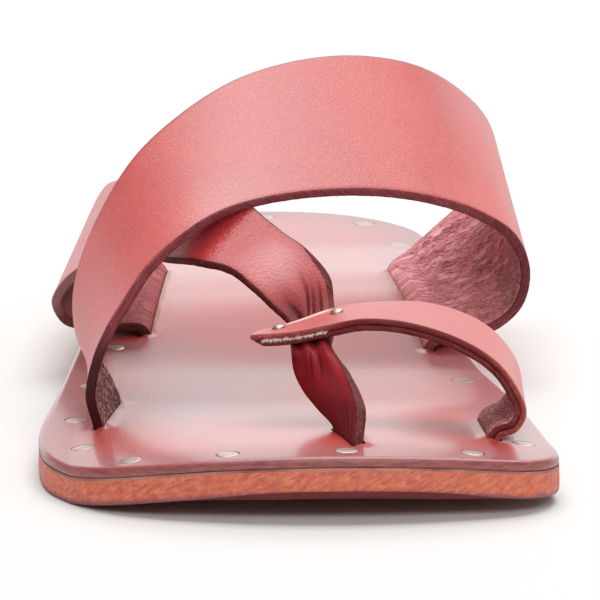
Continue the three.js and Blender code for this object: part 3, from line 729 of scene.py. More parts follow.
def plain_leather(name, dark, light, grain, roughness):
    """Dyed sole leather without polish: cloudy colour and open grain."""
    return make_material(
        name,
        {"cloud": ("solid", 12, 0, 4, 0.65), "grain": ("solid", grain, 0, 3, 0.6)},
        ground=("cloud", (0.30, dark), (0.70, light)),
        dyes=(("grain", 0.5, 0.75, 0.0, 0.4, dark),),
        reliefs=(("grain", 0.12, 0.5),),
        sockets={"Roughness": roughness},
    )


def worn_steel():
    """Hammered steel heads: bright, softly dented, with fine scratches."""
    return make_material(
        "hammered_steel",
        {"dent": ("solid", 1.6, 0, 2, 0.5), "scratch": ("solid", 0.25, 0, 3, 0.6)},
        ground=("scratch", (0.35, "#947e77"), (0.65, "#c2aaa1")),
        reliefs=(("dent", 0.12, 0.4),),
        gloss=(("scratch", 0.3, 0.7, 0.28, 0.46),),
        sockets={"Metallic": 1.0},
    )


def raw_fibre(name, low, high):
    """Loose leather fibres: matt and thin, uneven in tone."""
    return make_material(
        name,
        {"blot": ("solid", 2.0, 0, 2, 0.5)},
        ground=("blot", (0.35, low), (0.65, high)),
        sockets={"Roughness": 0.95, "Sheen Weight": 0.3},
    )


INSTEP_GRAIN = strap_grain(
    "rose_calf_grain", ("#b23a39", "#c24543", "#cb4e4b"), "#d98a86", "#7a2529", "#f0a9a5",
    grain=0.50, depth=0.06, shine=0.6, satin=(0.42, 0.50),
)
LOOP_GRAIN = strap_grain(
    "loop_calf_grain", ("#b63c3a", "#c24543", "#c94c49"), "#d98a86", "#9a4a34", "#f6cdb8",
    grain=0.50, depth=0.06, shine=0.6, satin=(0.40, 0.48),
)
THONG_GRAIN = strap_grain(
    "red_calf_grain", ("#ac2f34", "#b53739", "#bd4040"), "#cf7672", "#5c0d0c", "#f0a3a3",
    grain=0.60, depth=0.13, shine=0.42, satin=(0.36, 0.42),
)
# A darker, wine red copy of the thong's grain for its part below the loop: painted shade
SHADED_THONG_GRAIN = strap_grain(
    "shaded_thong_calf_grain", ("#7a121b", "#851721", "#901e27"), "#94303a", "#3c0910", "#b0505a",
    grain=0.50, depth=0.06, shine=0.15, satin=(0.46, 0.54),
)
STRAP_EDGE = burnished_edge("burnished_strap_edge", "#5a252a", "#874045", "#34151a", "#b98b80", flecks=0.3)
THONG_EDGE = burnished_edge("rubbed_thong_edge", "#401516", "#692d2a", "#96666a", "#b98577", flecks=0.35)
LOOP_EDGE = burnished_edge("rubbed_loop_edge", "#672427", "#a44b48", "#672427", "#d89a88", flecks=0.5)
LOOP_UNDER_EDGE = burnished_edge("dyed_loop_edge", "#4a1a1d", "#7a3433", "#4a1a1d", "#b8796c", flecks=0.35)
INSOLE_EDGE = burnished_edge(
    "burnished_insole_edge", "#6a3233", "#9a524e", "#6a3233", "#cfa294", flecks=0.2,
    roughness=0.34, shine=0.45,
)
INSTEP_FLESH = flesh_side(
    "crumpled_flesh_side", ("#8c3f4a", "#f79298", "#fcbcbb"), strand=(5.2, 2.6), turn=-22, fold_share=0.85
)
FLESH = flesh_side(
    "split_flesh_side", ("#5a1f26", "#a0444a", "#bf6d6c"), strand=(1.0, 2.4), turn=0, fold_share=0.4
)
INSOLE_GRAIN = glazed_insole()
RAW_CUT = plain_leather("raw_cut_leather", "#8a5236", "#b87a50", grain=0.6, roughness=0.85)
SOLE_EDGE = sole_edge()
SOLE_UNDER = plain_leather("sole_bend_underside", "#7d3b32", "#9d5546", grain=1.2, roughness=0.7)
# Dark red dye of the toe bevel, darkened further as painted shade under the lifted toe
TOE_DYE_AND_SHADE = plain_leather("dyed_and_shaded_toe_bevel", "#551315", "#701d1d", grain=0.8, roughness=0.55)
PASTE_LINE = plain_leather("pale_paste_line", "#7d4a42", "#b58575", grain=0.7, roughness=0.8)
STEEL = worn_steel()
PALE_FIBRE = raw_fibre("pale_leather_fibre", "#e2c8bd", "#fbf1ea")
EDGE_FIBRE = raw_fibre("dyed_leather_fibre", "#6b3a3a", "#96605c")

# Slots of the insole and of the straps
INSOLE_SET = (INSOLE_GRAIN, INSOLE_EDGE, RAW_CUT)
GRAIN_SLOT, EDGE_SLOT, UNDER_SLOT, SHADED_THONG_SLOT = range(4)


# Sole plies

def ply_piece(name, levels, slots, materials):
    """Closed ply from levels, each an inset and a height function: underside, rings of its edge, top.

    slots gives the material of the underside, each band of the edge and the top.
    """
    side = SOLE_ACROSS + 1
    count = (SOLE_ALONG + 1) * side
    points = []
    for inset, up in (levels[0], levels[-1]):
        flat = sole_grid(inset).reshape(-1, 2)
        points.append(np.column_stack((flat, up(flat[:, 0], flat[:, 1]))))
    low_rim = np.array([i * side + j for i, j, _ in RIM])
    loops = [low_rim]
    for number, (inset, up) in enumerate(levels[1:-1]):
        ring = outline_at(RIM_POSITIONS, inset(RIM_POSITIONS))
        points.append(np.column_stack((ring, up(ring[:, 0], ring[:, 1]))))
        loops.append(2 * count + number * len(RIM) + np.arange(len(RIM)))
    loops.append(low_rim + count)
    points = np.vstack(points)
    i, j = np.meshgrid(np.arange(SOLE_ALONG), np.arange(SOLE_ACROSS), indexing="ij")
    a = (i * side + j).ravel()
    under = np.column_stack((a, a + side, a + side + 1, a + 1))
    over = np.column_stack((a, a + 1, a + side + 1, a + side)) + count
    rim = outline_at(RIM_POSITIONS)
    start = running_length(np.vstack((rim, rim[:1])))
    along = np.column_stack((start[:-1], start[1:], start[1:], start[:-1]))
    groups = [under]
    uvs = [points[under][..., :2]]
    for lower, upper in zip(loops, loops[1:]):
        groups.append(np.column_stack((lower, np.roll(lower, -1), np.roll(upper, -1), upper)))
        uvs.append(np.stack((along, points[groups[-1]][..., 2]), -1))
    groups.append(over)
    uvs.append(points[over][..., :2])
    face_slots = np.concatenate([np.full(len(group), slot) for group, slot in zip(groups, slots)])
    loop_uvs = np.concatenate(uvs).reshape(-1, 2)
    return make_piece(name, points, np.vstack(groups).tolist(), face_slots, materials, loop_uvs)


def bevel_share(position):
    """1 under the middle of the toe's edge, 0 at its corners and along the sides."""
    p = outline_at(position)
    return np.where(p[..., 1] < TOE_BEVEL_REACH, band(p[..., 0], *TOE_BEVEL_X), 0.0)


def underside_at(x, back):
    """Height of the outsole's underside, which swells down a little under the toe."""
    return lift_at(x, back) - TOE_SWELL * band(x, *TOE_BEVEL_X) * (1 - smooth(*TOE_SWELL_END, back))


def knife_waver(position):
    """How far the knife wavered in or out, at row positions of the outline."""
    flat = np.column_stack((outline_at(position), np.zeros(len(position))))
    return WAVER_DEPTH * rough(flat, WAVER_LENGTH, seed=3, octaves=3)


def outsole_piece():
    """Thick lower ply, with a knife-cut edge that wavers a little and a rounded lower line."""

    def level(inset, height):
        return lambda s: inset + knife_waver(s), lambda x, back: lift_at(x, back) + height

    share = bevel_share(RIM_POSITIONS)
    levels = [(lambda s: OUTSOLE_INSET + TOE_BEVEL_WIDTH * bevel_share(s), underside_at)]
    for inset, height in OUTSOLE_RINGS:
        levels.append(level(inset, height + share * TOE_BEVEL_RISE * max(1 - height / OUTSOLE_THICK, 0)))
    levels.append(level(OUTSOLE_INSET, OUTSOLE_THICK + PLY_GAP - PLY_SEAT))
    edge, under, dyed_and_shaded, paste = range(4)
    slots = [under, dyed_and_shaded] + [edge] * (len(OUTSOLE_RINGS) - 2) + [paste] * 3
    piece = ply_piece("outsole_bend", levels, slots, (SOLE_EDGE, SOLE_UNDER, TOE_DYE_AND_SHADE, PASTE_LINE))
    x, back, up = table_points(piece.data).T
    store(piece.data, "height", up - lift_at(x, back))
    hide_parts("outsole")
    return piece


def slit_frame(slit):
    """Front end, unit run, unit direction of the grain side and length of a slit."""
    start = np.array(slit[0:2], float)
    run = np.array(slit[2:4], float) - start
    length = np.linalg.norm(run)
    run /= length
    across = np.array((run[1], -run[0]))
    return start, run, across * np.sign(across[0] * slit.grain_side), length


def slit_lips(x, back):
    """Rise of the insole round its slits, and how raw the lip is there."""
    rise = np.zeros_like(x)
    raw = np.zeros_like(x)
    for slit in SLITS.values():
        start, run, across, length = slit_frame(slit)
        dx = x - start[0]
        db = back - start[1]
        along = dx * run[0] + db * run[1]
        beside = dx * across[0] + db * across[1] + slit.thick / 2
        inside = band(along, -LIP_OVERRUN, LIP_FADE, length - LIP_FADE, length + LIP_OVERRUN)
        away = np.maximum(np.abs(beside) - slit.thick / 2, 0)
        near = np.exp(-((away / LIP_WIDTH) ** 2)) * inside
        rise += np.where(beside < 0, LIP_RISE * near, -LIP_PRESS * near)
        bare = slit.raw * (1 - smooth(*LIP_RAW_END, away)) * inside
        raw = np.maximum(raw, np.where(beside < 0, bare, 0))
    return rise, raw


def insole_blank():
    """Thin upper ply with a rounded, burnished edge and lips pulled up round the slits."""

    def level(inset, below):
        return lambda s: np.full(np.shape(s), inset), lambda x, back: sole_top(x, back) - below

    top_inset, flat_top = level(INSOLE_TOP_INSET, 0.0)
    levels = [level(INSOLE_UNDER_INSET, INSOLE_THICK)]
    levels += [level(inset, below) for inset, below in INSOLE_RINGS]
    levels.append((top_inset, lambda x, back: flat_top(x, back) + slit_lips(x, back)[0]))
    slots = [UNDER_SLOT] + [EDGE_SLOT] * (len(INSOLE_RINGS) - 1) + [GRAIN_SLOT] * 3
    return ply_piece("insole_blank", levels, slots, INSOLE_SET)


def sole_normal(x, back):
    """Upward normal of the insole's grain."""
    step = 1.0
    aside = lift_at(x + step, back) - lift_at(x - step, back)
    along = lift_at(x, back + step) - lift_at(x, back - step)
    return unit(np.array((-aside, -along, 2 * step)))


def lathe(profile, sides):
    """Points and faces of a profile turned about the z axis: radius, height and, where bent, shift in x."""
    points = []
    faces = []
    for radius, height, *shift in profile:
        for k in range(sides):
            angle = 2 * math.pi * k / sides
            points.append((radius * math.cos(angle) + sum(shift), radius * math.sin(angle), height))
    for i in range(len(profile) - 1):
        for k in range(sides):
            n = (k + 1) % sides
            faces.append((i * sides + k, i * sides + n, (i + 1) * sides + n, (i + 1) * sides + k))
    faces.append(tuple(range(sides - 1, -1, -1)))
    faces.append(tuple(range((len(profile) - 1) * sides, len(profile) * sides)))
    return np.array(points), faces


def insole_cutter():
    """Slit boxes and nail recesses, as one mesh that cuts the insole."""
    points = []
    faces = []

    def add(new_points, new_faces):
        base = len(points)
        points.extend(np.asarray(new_points).tolist())
        faces.extend(tuple(base + k for k in face) for face in new_faces)

    for slit in SLITS.values():
        start, run, across, length = slit_frame(slit)
        front, rear = -SLIT_GAP, length + SLIT_GAP
        near, far = SLIT_GAP, -slit.thick - SLIT_GAP
        corners = ((front, near), (rear, near), (rear, far), (front, far))
        box = [(*(start + run * s + across * a), up) for up in CUT_HEIGHTS for s, a in corners]
        inside_out = run[0] * across[1] - run[1] * across[0] < 0
        add(box, [side[::-1] for side in BOX_SIDES] if inside_out else BOX_SIDES)
    rim = NAIL_RADIUS + NAIL_GAP
    hole, hole_faces = lathe(((rim, -NAIL_SINK - NAIL_HOLE_DEEPER), (rim, NAIL_HOLE_TOP)), NAIL_SIDES)
    for x, back in NAILS:
        upright = Vector((0, 0, 1)).rotation_difference(Vector(sole_normal(x, back))).to_matrix()
        add(hole @ np.array(upright).T + (x, back, sole_top(x, back)), hole_faces)
    return make_piece("insole_cutter", points, faces, np.full(len(faces), UNDER_SLOT), INSOLE_SET)


def insole_piece():
    """Insole with its slits and recesses cut, and its distance from the rim and raw lips stored."""
    blank = insole_blank()
    cutter = insole_cutter()
    cut = blank.modifiers.new("slits_and_recesses", "BOOLEAN")
    cut.operation = "DIFFERENCE"
    cut.solver = "EXACT"
    cut.object = cutter
    piece = applied(blank, "insole_grain")
    bpy.data.objects.remove(cutter)
    mesh = piece.data
    at = table_points(mesh)
    store(mesh, "lip", slit_lips(at[:, 0], at[:, 1])[1])
    edge = outline_at(RIM_POSITIONS)
    parts = np.array_split(at[:, None, :2], RIM_PARTS)
    store(mesh, "rim", np.concatenate([np.linalg.norm(part - edge, axis=-1).min(axis=1) for part in parts]))
    shade(mesh, SOLE_SHARP)
    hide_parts("insole")
    return piece


# Straps

def slit_rows(slit):
    """Tab row inside the insole and mouth row just above it, in the straps' columns."""
    front = slit[0:2]
    rear = slit[2:4]
    return [
        (*front, sole_top(*front) + above, *rear, sole_top(*rear) + above)
        for above in (-TAB_DEPTH, SLIT_MOUTH)
    ]


def strap_lines(strap, rows):
    """Front and rear edge points of a strap's grain face, at places along its rows."""
    own_rows, (first, last) = strap
    start = slit_rows(SLITS[first]) if first else []
    table = np.array([*start, *own_rows, *slit_rows(SLITS[last])[::-1]], float)
    t = (np.asarray(rows, float) + len(start)) / (len(table) - 1)
    return curve(table[:, :3], t), curve(table[:, 3:], t)


def strap_at(strap, rows, v):
    """Points on a strap's grain face, their outward normals and the directions from rear to front edge."""
    lines = [strap_lines(strap, rows + step) for step in (-ROW_STEP, 0, ROW_STEP)]
    behind, points, ahead = (front + v[:, None] * (rear - front) for front, rear in lines)
    forwards = unit(lines[1][0] - lines[1][1])
    return points, unit(np.cross(forwards, ahead - behind)), forwards


def strap_section(across, thick):
    """Section round a strap: share of width, millimetres beside it, depth and slot of each span."""
    r = EDGE_ROUND
    arcs = [(math.sin(math.radians(w)), math.cos(math.radians(w))) for w in EDGE_ARC]
    walls = [r + (thick - 2 * r) * share for share in EDGE_WALLS]
    flat = [(j / across, r * (1 - 2 * j / across)) for j in range(across + 1)]
    spans = [(a, b, 0.0) for a, b in flat]
    spans += [(1.0, r * s - r, r - r * c) for s, c in arcs]
    spans += [(1.0, 0.0, d) for d in walls]
    spans += [(1.0, r * c - r, thick - r + r * s) for s, c in arcs]
    under = len(spans)
    spans += [(a, b, thick) for a, b in flat[::-1]]
    spans += [(0.0, r - r * s, thick - r + r * c) for s, c in arcs]
    spans += [(0.0, 0.0, d) for d in walls[::-1]]
    spans += [(0.0, r - r * c, r - r * s) for s, c in arcs]
    slot = np.full(len(spans), EDGE_SLOT)
    slot[:across] = GRAIN_SLOT
    slot[under:under + across] = UNDER_SLOT
    return *np.array(spans).T, slot


def sole_lift(points):
    """How far the sole lifts strap points that would sink into it."""
    floor = sole_top(points[..., 0], points[..., 1]) + SLIT_MOUTH
    near = np.clip((SOLE_THICK + SOLE_LIE_HEIGHT - points[..., 2]) / SOLE_LIE_FADE, 0, 1)
    return np.maximum(floor - points[..., 2], 0) * near


def troughs(creases, row, v):
    """Soft troughs along a strap, from a table of creases."""
    relief = np.zeros_like(v)
    for place, drift, spread, depth, start, deepest, stop in creases:
        middle = place + drift * (deepest - row)
        relief -= depth * band(row, start, deepest, deepest, stop) * np.exp(-(((v - middle) / spread) ** 2))
    return relief


def patched(patches, row, v):
    """Sum of soft patches of a strap, each with a strength, a span of rows and a span across."""
    total = np.zeros_like(v)
    for strength, rows, across in patches:
        total += strength * band(row, *rows) * band(v, *across)
    return total


def strap_faces(steps, ring):
    """Faces of a strip round its section, with both end caps, and the step and span of each quad."""
    i, k = np.meshgrid(np.arange(steps), np.arange(ring), indexing="ij")
    n = (k + 1) % ring
    quads = np.stack((i * ring + k, (i + 1) * ring + k, (i + 1) * ring + n, i * ring + n), -1)
    caps = [list(range(ring)), list(range(steps * ring, (steps + 1) * ring))[::-1]]
    return quads.reshape(-1, 4).tolist() + caps, i, k


def strap_uvs(i, k, length, across, below):
    """Flat cut of a strap in millimetres: along it and round its section, then both end caps."""
    flat = np.stack((across, below), -1)
    around = np.linalg.norm(np.roll(flat, -1, axis=1) - flat, axis=-1)
    girth = np.concatenate((np.zeros((len(length), 1)), np.cumsum(around, axis=1)), axis=1)
    corners = ((i, k), (i + 1, k), (i + 1, k + 1), (i, k + 1))
    sides = np.stack([np.stack((length[a], girth[a, b]), -1) for a, b in corners], 2)
    caps = (flat[0, :, ::-1], flat[-1, ::-1, ::-1])
    return np.concatenate((sides.reshape(-1, 2), *caps))


def strap_piece(name, strap, materials, steps, across, edge_noise, seed, thick=STRAP_THICK, sink=0.0,
                end_slant=0.0, wave=None, creases=(), flesh=None, worn_and_highlight=(), nap=(), dark=(), shaded=(),
                grain_slot=None):
    """Strap as a closed strip: grain, burnished edges and flesh, along curves through its rows.

    wave, creases and flesh give relief; worn, nap, dark and shaded are patches that its materials read, worn
    with painted highlights among its marks and dark as painted shade.
    """
    rows, slits = strap
    # Tab and mouth rows come before the strap's own where it starts in a slit, and two follow them
    row = np.linspace(-2 if slits[0] else 0, len(rows) + 1, steps + 1)
    front, rear = strap_lines(strap, row)
    width = np.linalg.norm(rear - front, axis=1)[:, None]
    share, beside, depth, slot = strap_section(across, thick)
    v = share + beside / width
    points = front[:, None] + v[..., None] * (rear - front)[:, None]
    free = (row > -1) & (row < len(rows))
    points[..., 2] += np.where(free[:, None], sole_lift(points), 0)
    along = np.gradient(points, axis=0)
    normal = unit(np.cross(along, (rear - front)[:, None]))
    length = running_length((front + rear) / 2)
    rows_at = np.repeat(row[:, None], len(share), 1)
    across_mm = v * width
    below = np.repeat(depth[None], steps + 1, 0) + sink

    is_grain = depth < thick * GRAIN_END
    is_flesh = depth > thick * FLESH_START
    pleats = wave(rows_at, v) if wave else np.zeros_like(v)
    grain_relief = troughs(creases, rows_at, v)
    lengths = np.repeat(length[:, None], len(share), 1)
    flesh_relief = flesh(rows_at, v, lengths, across_mm) if flesh else np.zeros_like(v)
    edge_relief = grain_relief / 2
    relief = np.where(is_grain, grain_relief, np.where(is_flesh, flesh_relief, edge_relief)) + pleats
    moved = points + normal * (relief - below)[..., None]
    if end_slant:
        slope = np.clip((below - END_SLANT_TOP) / (LOOP_THICK - END_SLANT_TOP), 0, 1)
        cut_back = end_slant * slope * (1 - smooth(0.0, END_SLANT_ROWS, rows_at))
        moved += unit(along) * cut_back[..., None]
    on_edge = (depth > EDGE_ROUND) & (depth < thick)
    push = edge_noise * rough(moved[:, on_edge], EDGE_LUMP, seed, octaves=3)
    outwards = np.where(share[on_edge] > 0.5, 1.0, -1.0)
    moved[:, on_edge] += unit(rear - front)[:, None] * (push * outwards)[..., None]

    # Painted shade: darker where the grain and the flesh crease, in pleat troughs and in the dark patches
    crease_shade = np.clip(-(grain_relief + PLEAT_DARK * pleats) / GRAIN_CREASE_DARK, 0, 1)
    crease_shade = np.clip(crease_shade + patched(dark, rows_at, v), 0, 1)
    crease_shade = np.where(is_flesh, np.clip(-flesh_relief / FLESH_CREASE_DARK, 0, 1), crease_shade)
    # Worn marks and painted highlights on the grain, nap on the flesh
    rubbed_and_lit = patched(worn_and_highlight, rows_at, v) * is_grain
    rubbed_and_lit = np.where(depth > thick * NAP_START, patched(nap, rows_at, v), rubbed_and_lit)
    fields = {
        "rim": np.minimum(across_mm, width - across_mm),
        "crease_shade": crease_shade,
        "worn_and_highlight": rubbed_and_lit,
        "shade": patched(shaded, rows_at, v),
    }
    faces, i, k = strap_faces(steps, len(share))
    face_slots = np.repeat(slot[None], steps, 0)
    if grain_slot:
        face_slots = np.where(face_slots == GRAIN_SLOT, grain_slot(rows_at[:-1], v[:-1]), face_slots)
    face_slots = np.append(face_slots.ravel(), [EDGE_SLOT, EDGE_SLOT])
    uvs = strap_uvs(i, k, length, across_mm, below)
    piece = make_piece(name, moved.reshape(-1, 3), faces, face_slots, materials, uvs, fields, STRAP_SHARP)
    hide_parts("upper")
    return piece


# Patches of the straps: strength, span of rows, span across; each span is start, full, fade, stop

FAR = 99


def after(start, full):
    """Span that rises and stays."""
    return start, full, FAR, FAR + 1


def before(fade, stop):
    """Span that is full until it fades."""
    return -FAR - 1, -FAR, fade, stop


WHOLE = (-FAR - 1, -FAR, FAR, FAR + 1)
INSIDE_RIMS = (0.0, 0.06, 0.94, 1.0)
# Crumples of the instep's flesh, most where it squeezes into the arch-side slit and at the little-toe end
INSTEP_CRUMPLED = (
    (0.90, (9.0, 12.5, 14.6, 15.5), INSIDE_RIMS),
    (0.12, before(14.6, 15.5), INSIDE_RIMS),
    (0.50, before(0.3, 2.4), INSIDE_RIMS),
)
# Painted shade on the grain where the instep strap bends down to the little-toe side
INSTEP_BEND_SHADE = ((0.13, (3.4, 4.7, 5.4, 6.8), after(0.10, 0.45)),)
# Painted shade: dark flesh and edge at the little-toe end, and greyed flesh on the outer turn of the arch
# side
INSTEP_SHADE = ((0.9, before(0.9, 2.4), WHOLE), (0.40, (9.6, 10.8, 13.0, 14.2), before(0.10, 0.45)))
# Pale curled fibres on the flesh, at the little-toe end and by the front edge on the arch side
INSTEP_NAP = ((0.8, before(0.8, 1.9), WHOLE), (0.8, (9.8, 11.0, 12.8, 13.8), before(0.10, 0.26)))
# Painted shade on the grain in the gather above the loop, and at the toe slit
THONG_PAINTED_SHADE = (
    (0.74, (10.6, 13.2, 14.6, 15.2), WHOLE),
    (0.28, (10.6, 13.2, 14.6, 15.2), before(0.10, 0.60)),
    (0.45, after(16.4, 18.6), WHOLE),
)
# Painted highlight on the grain's crest just above the gather
THONG_CREST_HIGHLIGHT = ((0.36, (9.7, 10.8, 11.0, 12.0), (-0.05, 0.25, 0.65, 0.92)),)
# Painted shade on the flesh at the outer waist, most where the thong turns up; the same patches turn the edge
# there pale grey
THONG_SHADE = ((0.12, before(3.0, 6.0), WHOLE), (0.6, (2.0, 3.0, 5.6, 6.6), WHOLE))
# Painted highlight along the loop's rear edge between the rivets, and on the front edge's outer turn raw
# orange cut leather with a painted highlight
LOOP_HIGHLIGHT_AND_RAW = (
    (1.0, (0.75, 1.0, 1.75, 2.0), (0.80, 0.86, 0.94, 1.0)),
    (0.85, after(5.2, 6.4), before(0.0, 0.03)),
)
# Edge dye left on the loop's middle, rubbed off at its free end and on its outer turn
LOOP_DYE = ((0.85, (1.6, 2.6, 5.6, 6.8), WHOLE),)
# Raised pale nap on the flesh side, close to the loop's slit
LOOP_NAP = ((0.9, after(6.0, 7.0), WHOLE),)


def instep_flesh(row, v, length, beside):
    """Slanting folds and finer crumples of the flesh side, and a ragged line behind the front edge."""
    slant = beside - FOLD_SLANT * length
    at = np.stack((slant / FOLD_LUMP[0], length / FOLD_LUMP[1], np.zeros_like(v)), -1)
    bent = at + FOLD_BEND * rough(at, FOLD_BEND_LUMP, seed=7, octaves=1)[..., None]
    folds = FOLD_HEIGHT[0] * np.abs(rough(bent, 1.0, seed=5)) - FOLD_HEIGHT[1]
    fine = np.stack((slant / CRUMPLE_LUMP[0], length / CRUMPLE_LUMP[1], np.ones_like(v)), -1)
    crumple = rough(fine, 1.0, seed=6)
    apart = (v - RAGGED_PLACE - RAGGED_WANDER * crumple) / RAGGED_WIDTH
    ragged = RAGGED_DEPTH * band(row, *RAGGED_ROWS) * np.exp(-(apart ** 2)) * (RAGGED_SHARE + crumple)
    crumpled = patched(INSTEP_CRUMPLED, row, v) * (FOLD_DEPTH * folds + CRUMPLE_DEPTH * crumple)
    return crumpled + ragged + troughs(INSTEP_CREASES, row, v)


def flesh_fuzz(row, v, length, beside):
    """Low lumps of a plain flesh side."""
    at = np.stack((beside / FUZZ_LUMP[0], length / FUZZ_LUMP[1], np.zeros_like(v)), -1)
    return FUZZ_DEPTH * rough(at, 1.0, seed=9)


def thong_wave(row, v):
    """Broad pleats that fade out above and below the loop."""
    reach = np.where(row < PLEAT_ROW, PLEAT_ROWS_ABOVE, PLEAT_ROWS_BELOW)
    fade = 1 - smooth(0, 1, np.abs(row - PLEAT_ROW) / reach)
    return PLEAT_DEPTH * fade * np.cos(2 * math.pi * PLEAT_COUNT * v)


def thong_slot(row, v):
    """Slots of the thong's grain: a strip by its rear edge above the loop takes the edge's material, and
    below the loop it takes a darker wine red copy of its grain, painted shade.
    """
    turned_up = (row > TURN_UP_ROWS[0]) & (v > 1 - TURN_UP_SHARE * smooth(*TURN_UP_ROWS, row))
    return np.where(row > PLEAT_ROW, SHADED_THONG_SLOT, np.where(turned_up, EDGE_SLOT, GRAIN_SLOT))


def build_straps():
    """The instep strap, the thong and the loop's two plies."""
    instep = strap_piece(
        "instep_strap", INSTEP, (INSTEP_GRAIN, STRAP_EDGE, INSTEP_FLESH), steps=260, across=40,
        flesh=instep_flesh, dark=INSTEP_BEND_SHADE, shaded=INSTEP_SHADE, nap=INSTEP_NAP, edge_noise=0.10, seed=1,
    )
    thong = strap_piece(
        "thong_strap", THONG, (THONG_GRAIN, THONG_EDGE, FLESH, SHADED_THONG_GRAIN), steps=300, across=80,
        wave=thong_wave, creases=THONG_CREASES, flesh=flesh_fuzz, worn_and_highlight=THONG_CREST_HIGHLIGHT, dark=THONG_PAINTED_SHADE,
        shaded=THONG_SHADE, grain_slot=thong_slot, edge_noise=0.06, seed=2,
    )
    upper_ply = strap_piece(
        "loop_upper_ply", LOOP, (LOOP_GRAIN, LOOP_EDGE, FLESH), steps=150, across=20, thick=PLY_THICK,
        worn_and_highlight=LOOP_HIGHLIGHT_AND_RAW, shaded=LOOP_DYE, end_slant=END_SLANT, edge_noise=0.20, seed=3,
    )
    under_ply = strap_piece(
        "loop_under_ply", LOOP, (FLESH, LOOP_UNDER_EDGE, FLESH), steps=150, across=20, thick=PLY_THICK,
        sink=PLY_STEP, flesh=flesh_fuzz, nap=LOOP_NAP, end_slant=END_SLANT, edge_noise=0.22, seed=4,
    )
    return [instep, thong, upper_ply, under_ply]


# Small repeated pieces, set on seats by Geometry Nodes

SEAT_INPUTS = {
    "Seats": "Geometry", "Piece": "Object", "Smallest": "Float", "Largest": "Float", "Least turn": "Vector",
    "Most turn": "Vector", "Seed": "Int", "Material": "Material",
}


def seat_tree():
    """Geometry Nodes that set a piece on each seat point, turned to its normal, with a little spread."""
    tree = bpy.data.node_groups.new("pieces_on_seats", "GeometryNodeTree")
    sockets = {}
    for name, kind in SEAT_INPUTS.items():
        made = tree.interface.new_socket(name=name, in_out="INPUT", socket_type=f"NodeSocket{kind}")
        sockets[name] = made.identifier
    tree.interface.new_socket(name="Pieces", in_out="OUTPUT", socket_type="NodeSocketGeometry")
    given = add_node(tree, "NodeGroupInput").outputs
    named = {"data_type": "FLOAT_VECTOR", "Name": "seat_normal"}
    normal = add_node(tree, "GeometryNodeInputNamedAttribute", named).outputs["Attribute"]
    upright = add_node(tree, "FunctionNodeAlignRotationToVector", {"axis": "Z"}, {"Vector": normal})
    # Inputs 0 and 1 of the random values are vectors, 2 and 3 are numbers
    turns = {0: given["Least turn"], 1: given["Most turn"], "Seed": given["Seed"]}
    lean = add_node(tree, "FunctionNodeRandomValue", {"data_type": "FLOAT_VECTOR"}, turns)
    turn = add_node(tree, "FunctionNodeEulerToRotation", links={"Euler": lean.outputs[0]})
    both = {"Rotation": upright.outputs[0], "Rotate By": turn.outputs[0]}
    leaning = add_node(tree, "FunctionNodeRotateRotation", {"rotation_space": "LOCAL"}, both)
    sizes = {2: given["Smallest"], 3: given["Largest"], "Seed": given["Seed"]}
    size = add_node(tree, "FunctionNodeRandomValue", {"data_type": "FLOAT"}, sizes)
    piece = add_node(tree, "GeometryNodeObjectInfo", links={"Object": given["Piece"]})
    seated = {
        "Points": given["Seats"], "Instance": piece.outputs["Geometry"], "Rotation": leaning.outputs[0],
        "Scale": size.outputs[1],
    }
    set_out = add_node(tree, "GeometryNodeInstanceOnPoints", links=seated)
    real = add_node(tree, "GeometryNodeRealizeInstances", links={"Geometry": set_out.outputs[0]})
    dressed = {"Geometry": real.outputs[0], "Material": given["Material"]}
    finished = add_node(tree, "GeometryNodeSetMaterial", links=dressed)
    add_node(tree, "NodeGroupOutput", links={"Pieces": finished.outputs[0]})
    return tree, sockets


SEAT_TREE, SEAT_SOCKETS = seat_tree()


def set_pieces(name, seats, normals, shape, material, sizes, tilt, seed):
    """One mesh of a small shape, points and faces about its own origin, set on every seat."""
    most_turn = (math.radians(tilt), math.radians(tilt), math.pi)
    points, faces = shape
    small = bpy.data.meshes.new(name + "_shape")
    small.from_pydata((np.asarray(points) * MM).tolist(), [], faces)
    small.materials.append(material)
    template = add_object(name + "_shape", small)
    mesh = bpy.data.meshes.new(name)
    mesh.from_pydata(placed(seats).tolist(), [], [])
    layer = mesh.attributes.new("seat_normal", "FLOAT_VECTOR", "POINT")
    layer.data.foreach_set("vector", np.asarray(normals, np.float32).ravel())
    carrier = add_object(name + "_seats", mesh)
    setter = carrier.modifiers.new("set", "NODES")
    setter.node_group = SEAT_TREE
    values = {
        "Piece": template, "Smallest": sizes[0], "Largest": sizes[1], "Seed": seed, "Material": material,
        "Least turn": [-angle for angle in most_turn], "Most turn": most_turn,
    }
    for key, value in values.items():
        setter[SEAT_SOCKETS[key]] = value
    piece = applied(carrier, name)
    bpy.data.objects.remove(template)
    shade(piece.data, SMALL_SHARP)
    return piece


def nail_heads():
    """Flat hammered heads, flush in the insole, with a rubbed-down rim."""
    seats = [(x, back, sole_top(x, back)) for x, back in NAILS]
    normals = [sole_normal(x, back) for x, back in NAILS]
    head = lathe(NAIL_PROFILE, NAIL_SIDES)
    piece = set_pieces("sole_nails", seats, normals, head, STEEL, sizes=(0.97, 1.03), tilt=1.2, seed=4)
    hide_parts(*[f"sole_nail_{k + 1:02d}" for k in range(len(NAILS))])
    return piece


def loop_rivets():
    """Small domed rivet heads on the loop, one on each side of the thong."""
    seats, normals, _ = strap_at(LOOP, *np.transpose(RIVETS))
    head = lathe(RIVET_PROFILE, RIVET_SIDES)
    piece = set_pieces("loop_rivets", seats, normals, head, STEEL, sizes=(0.98, 1.02), tilt=2, seed=2)
    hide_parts("loop_rivet_1", "loop_rivet_2")
    return piece


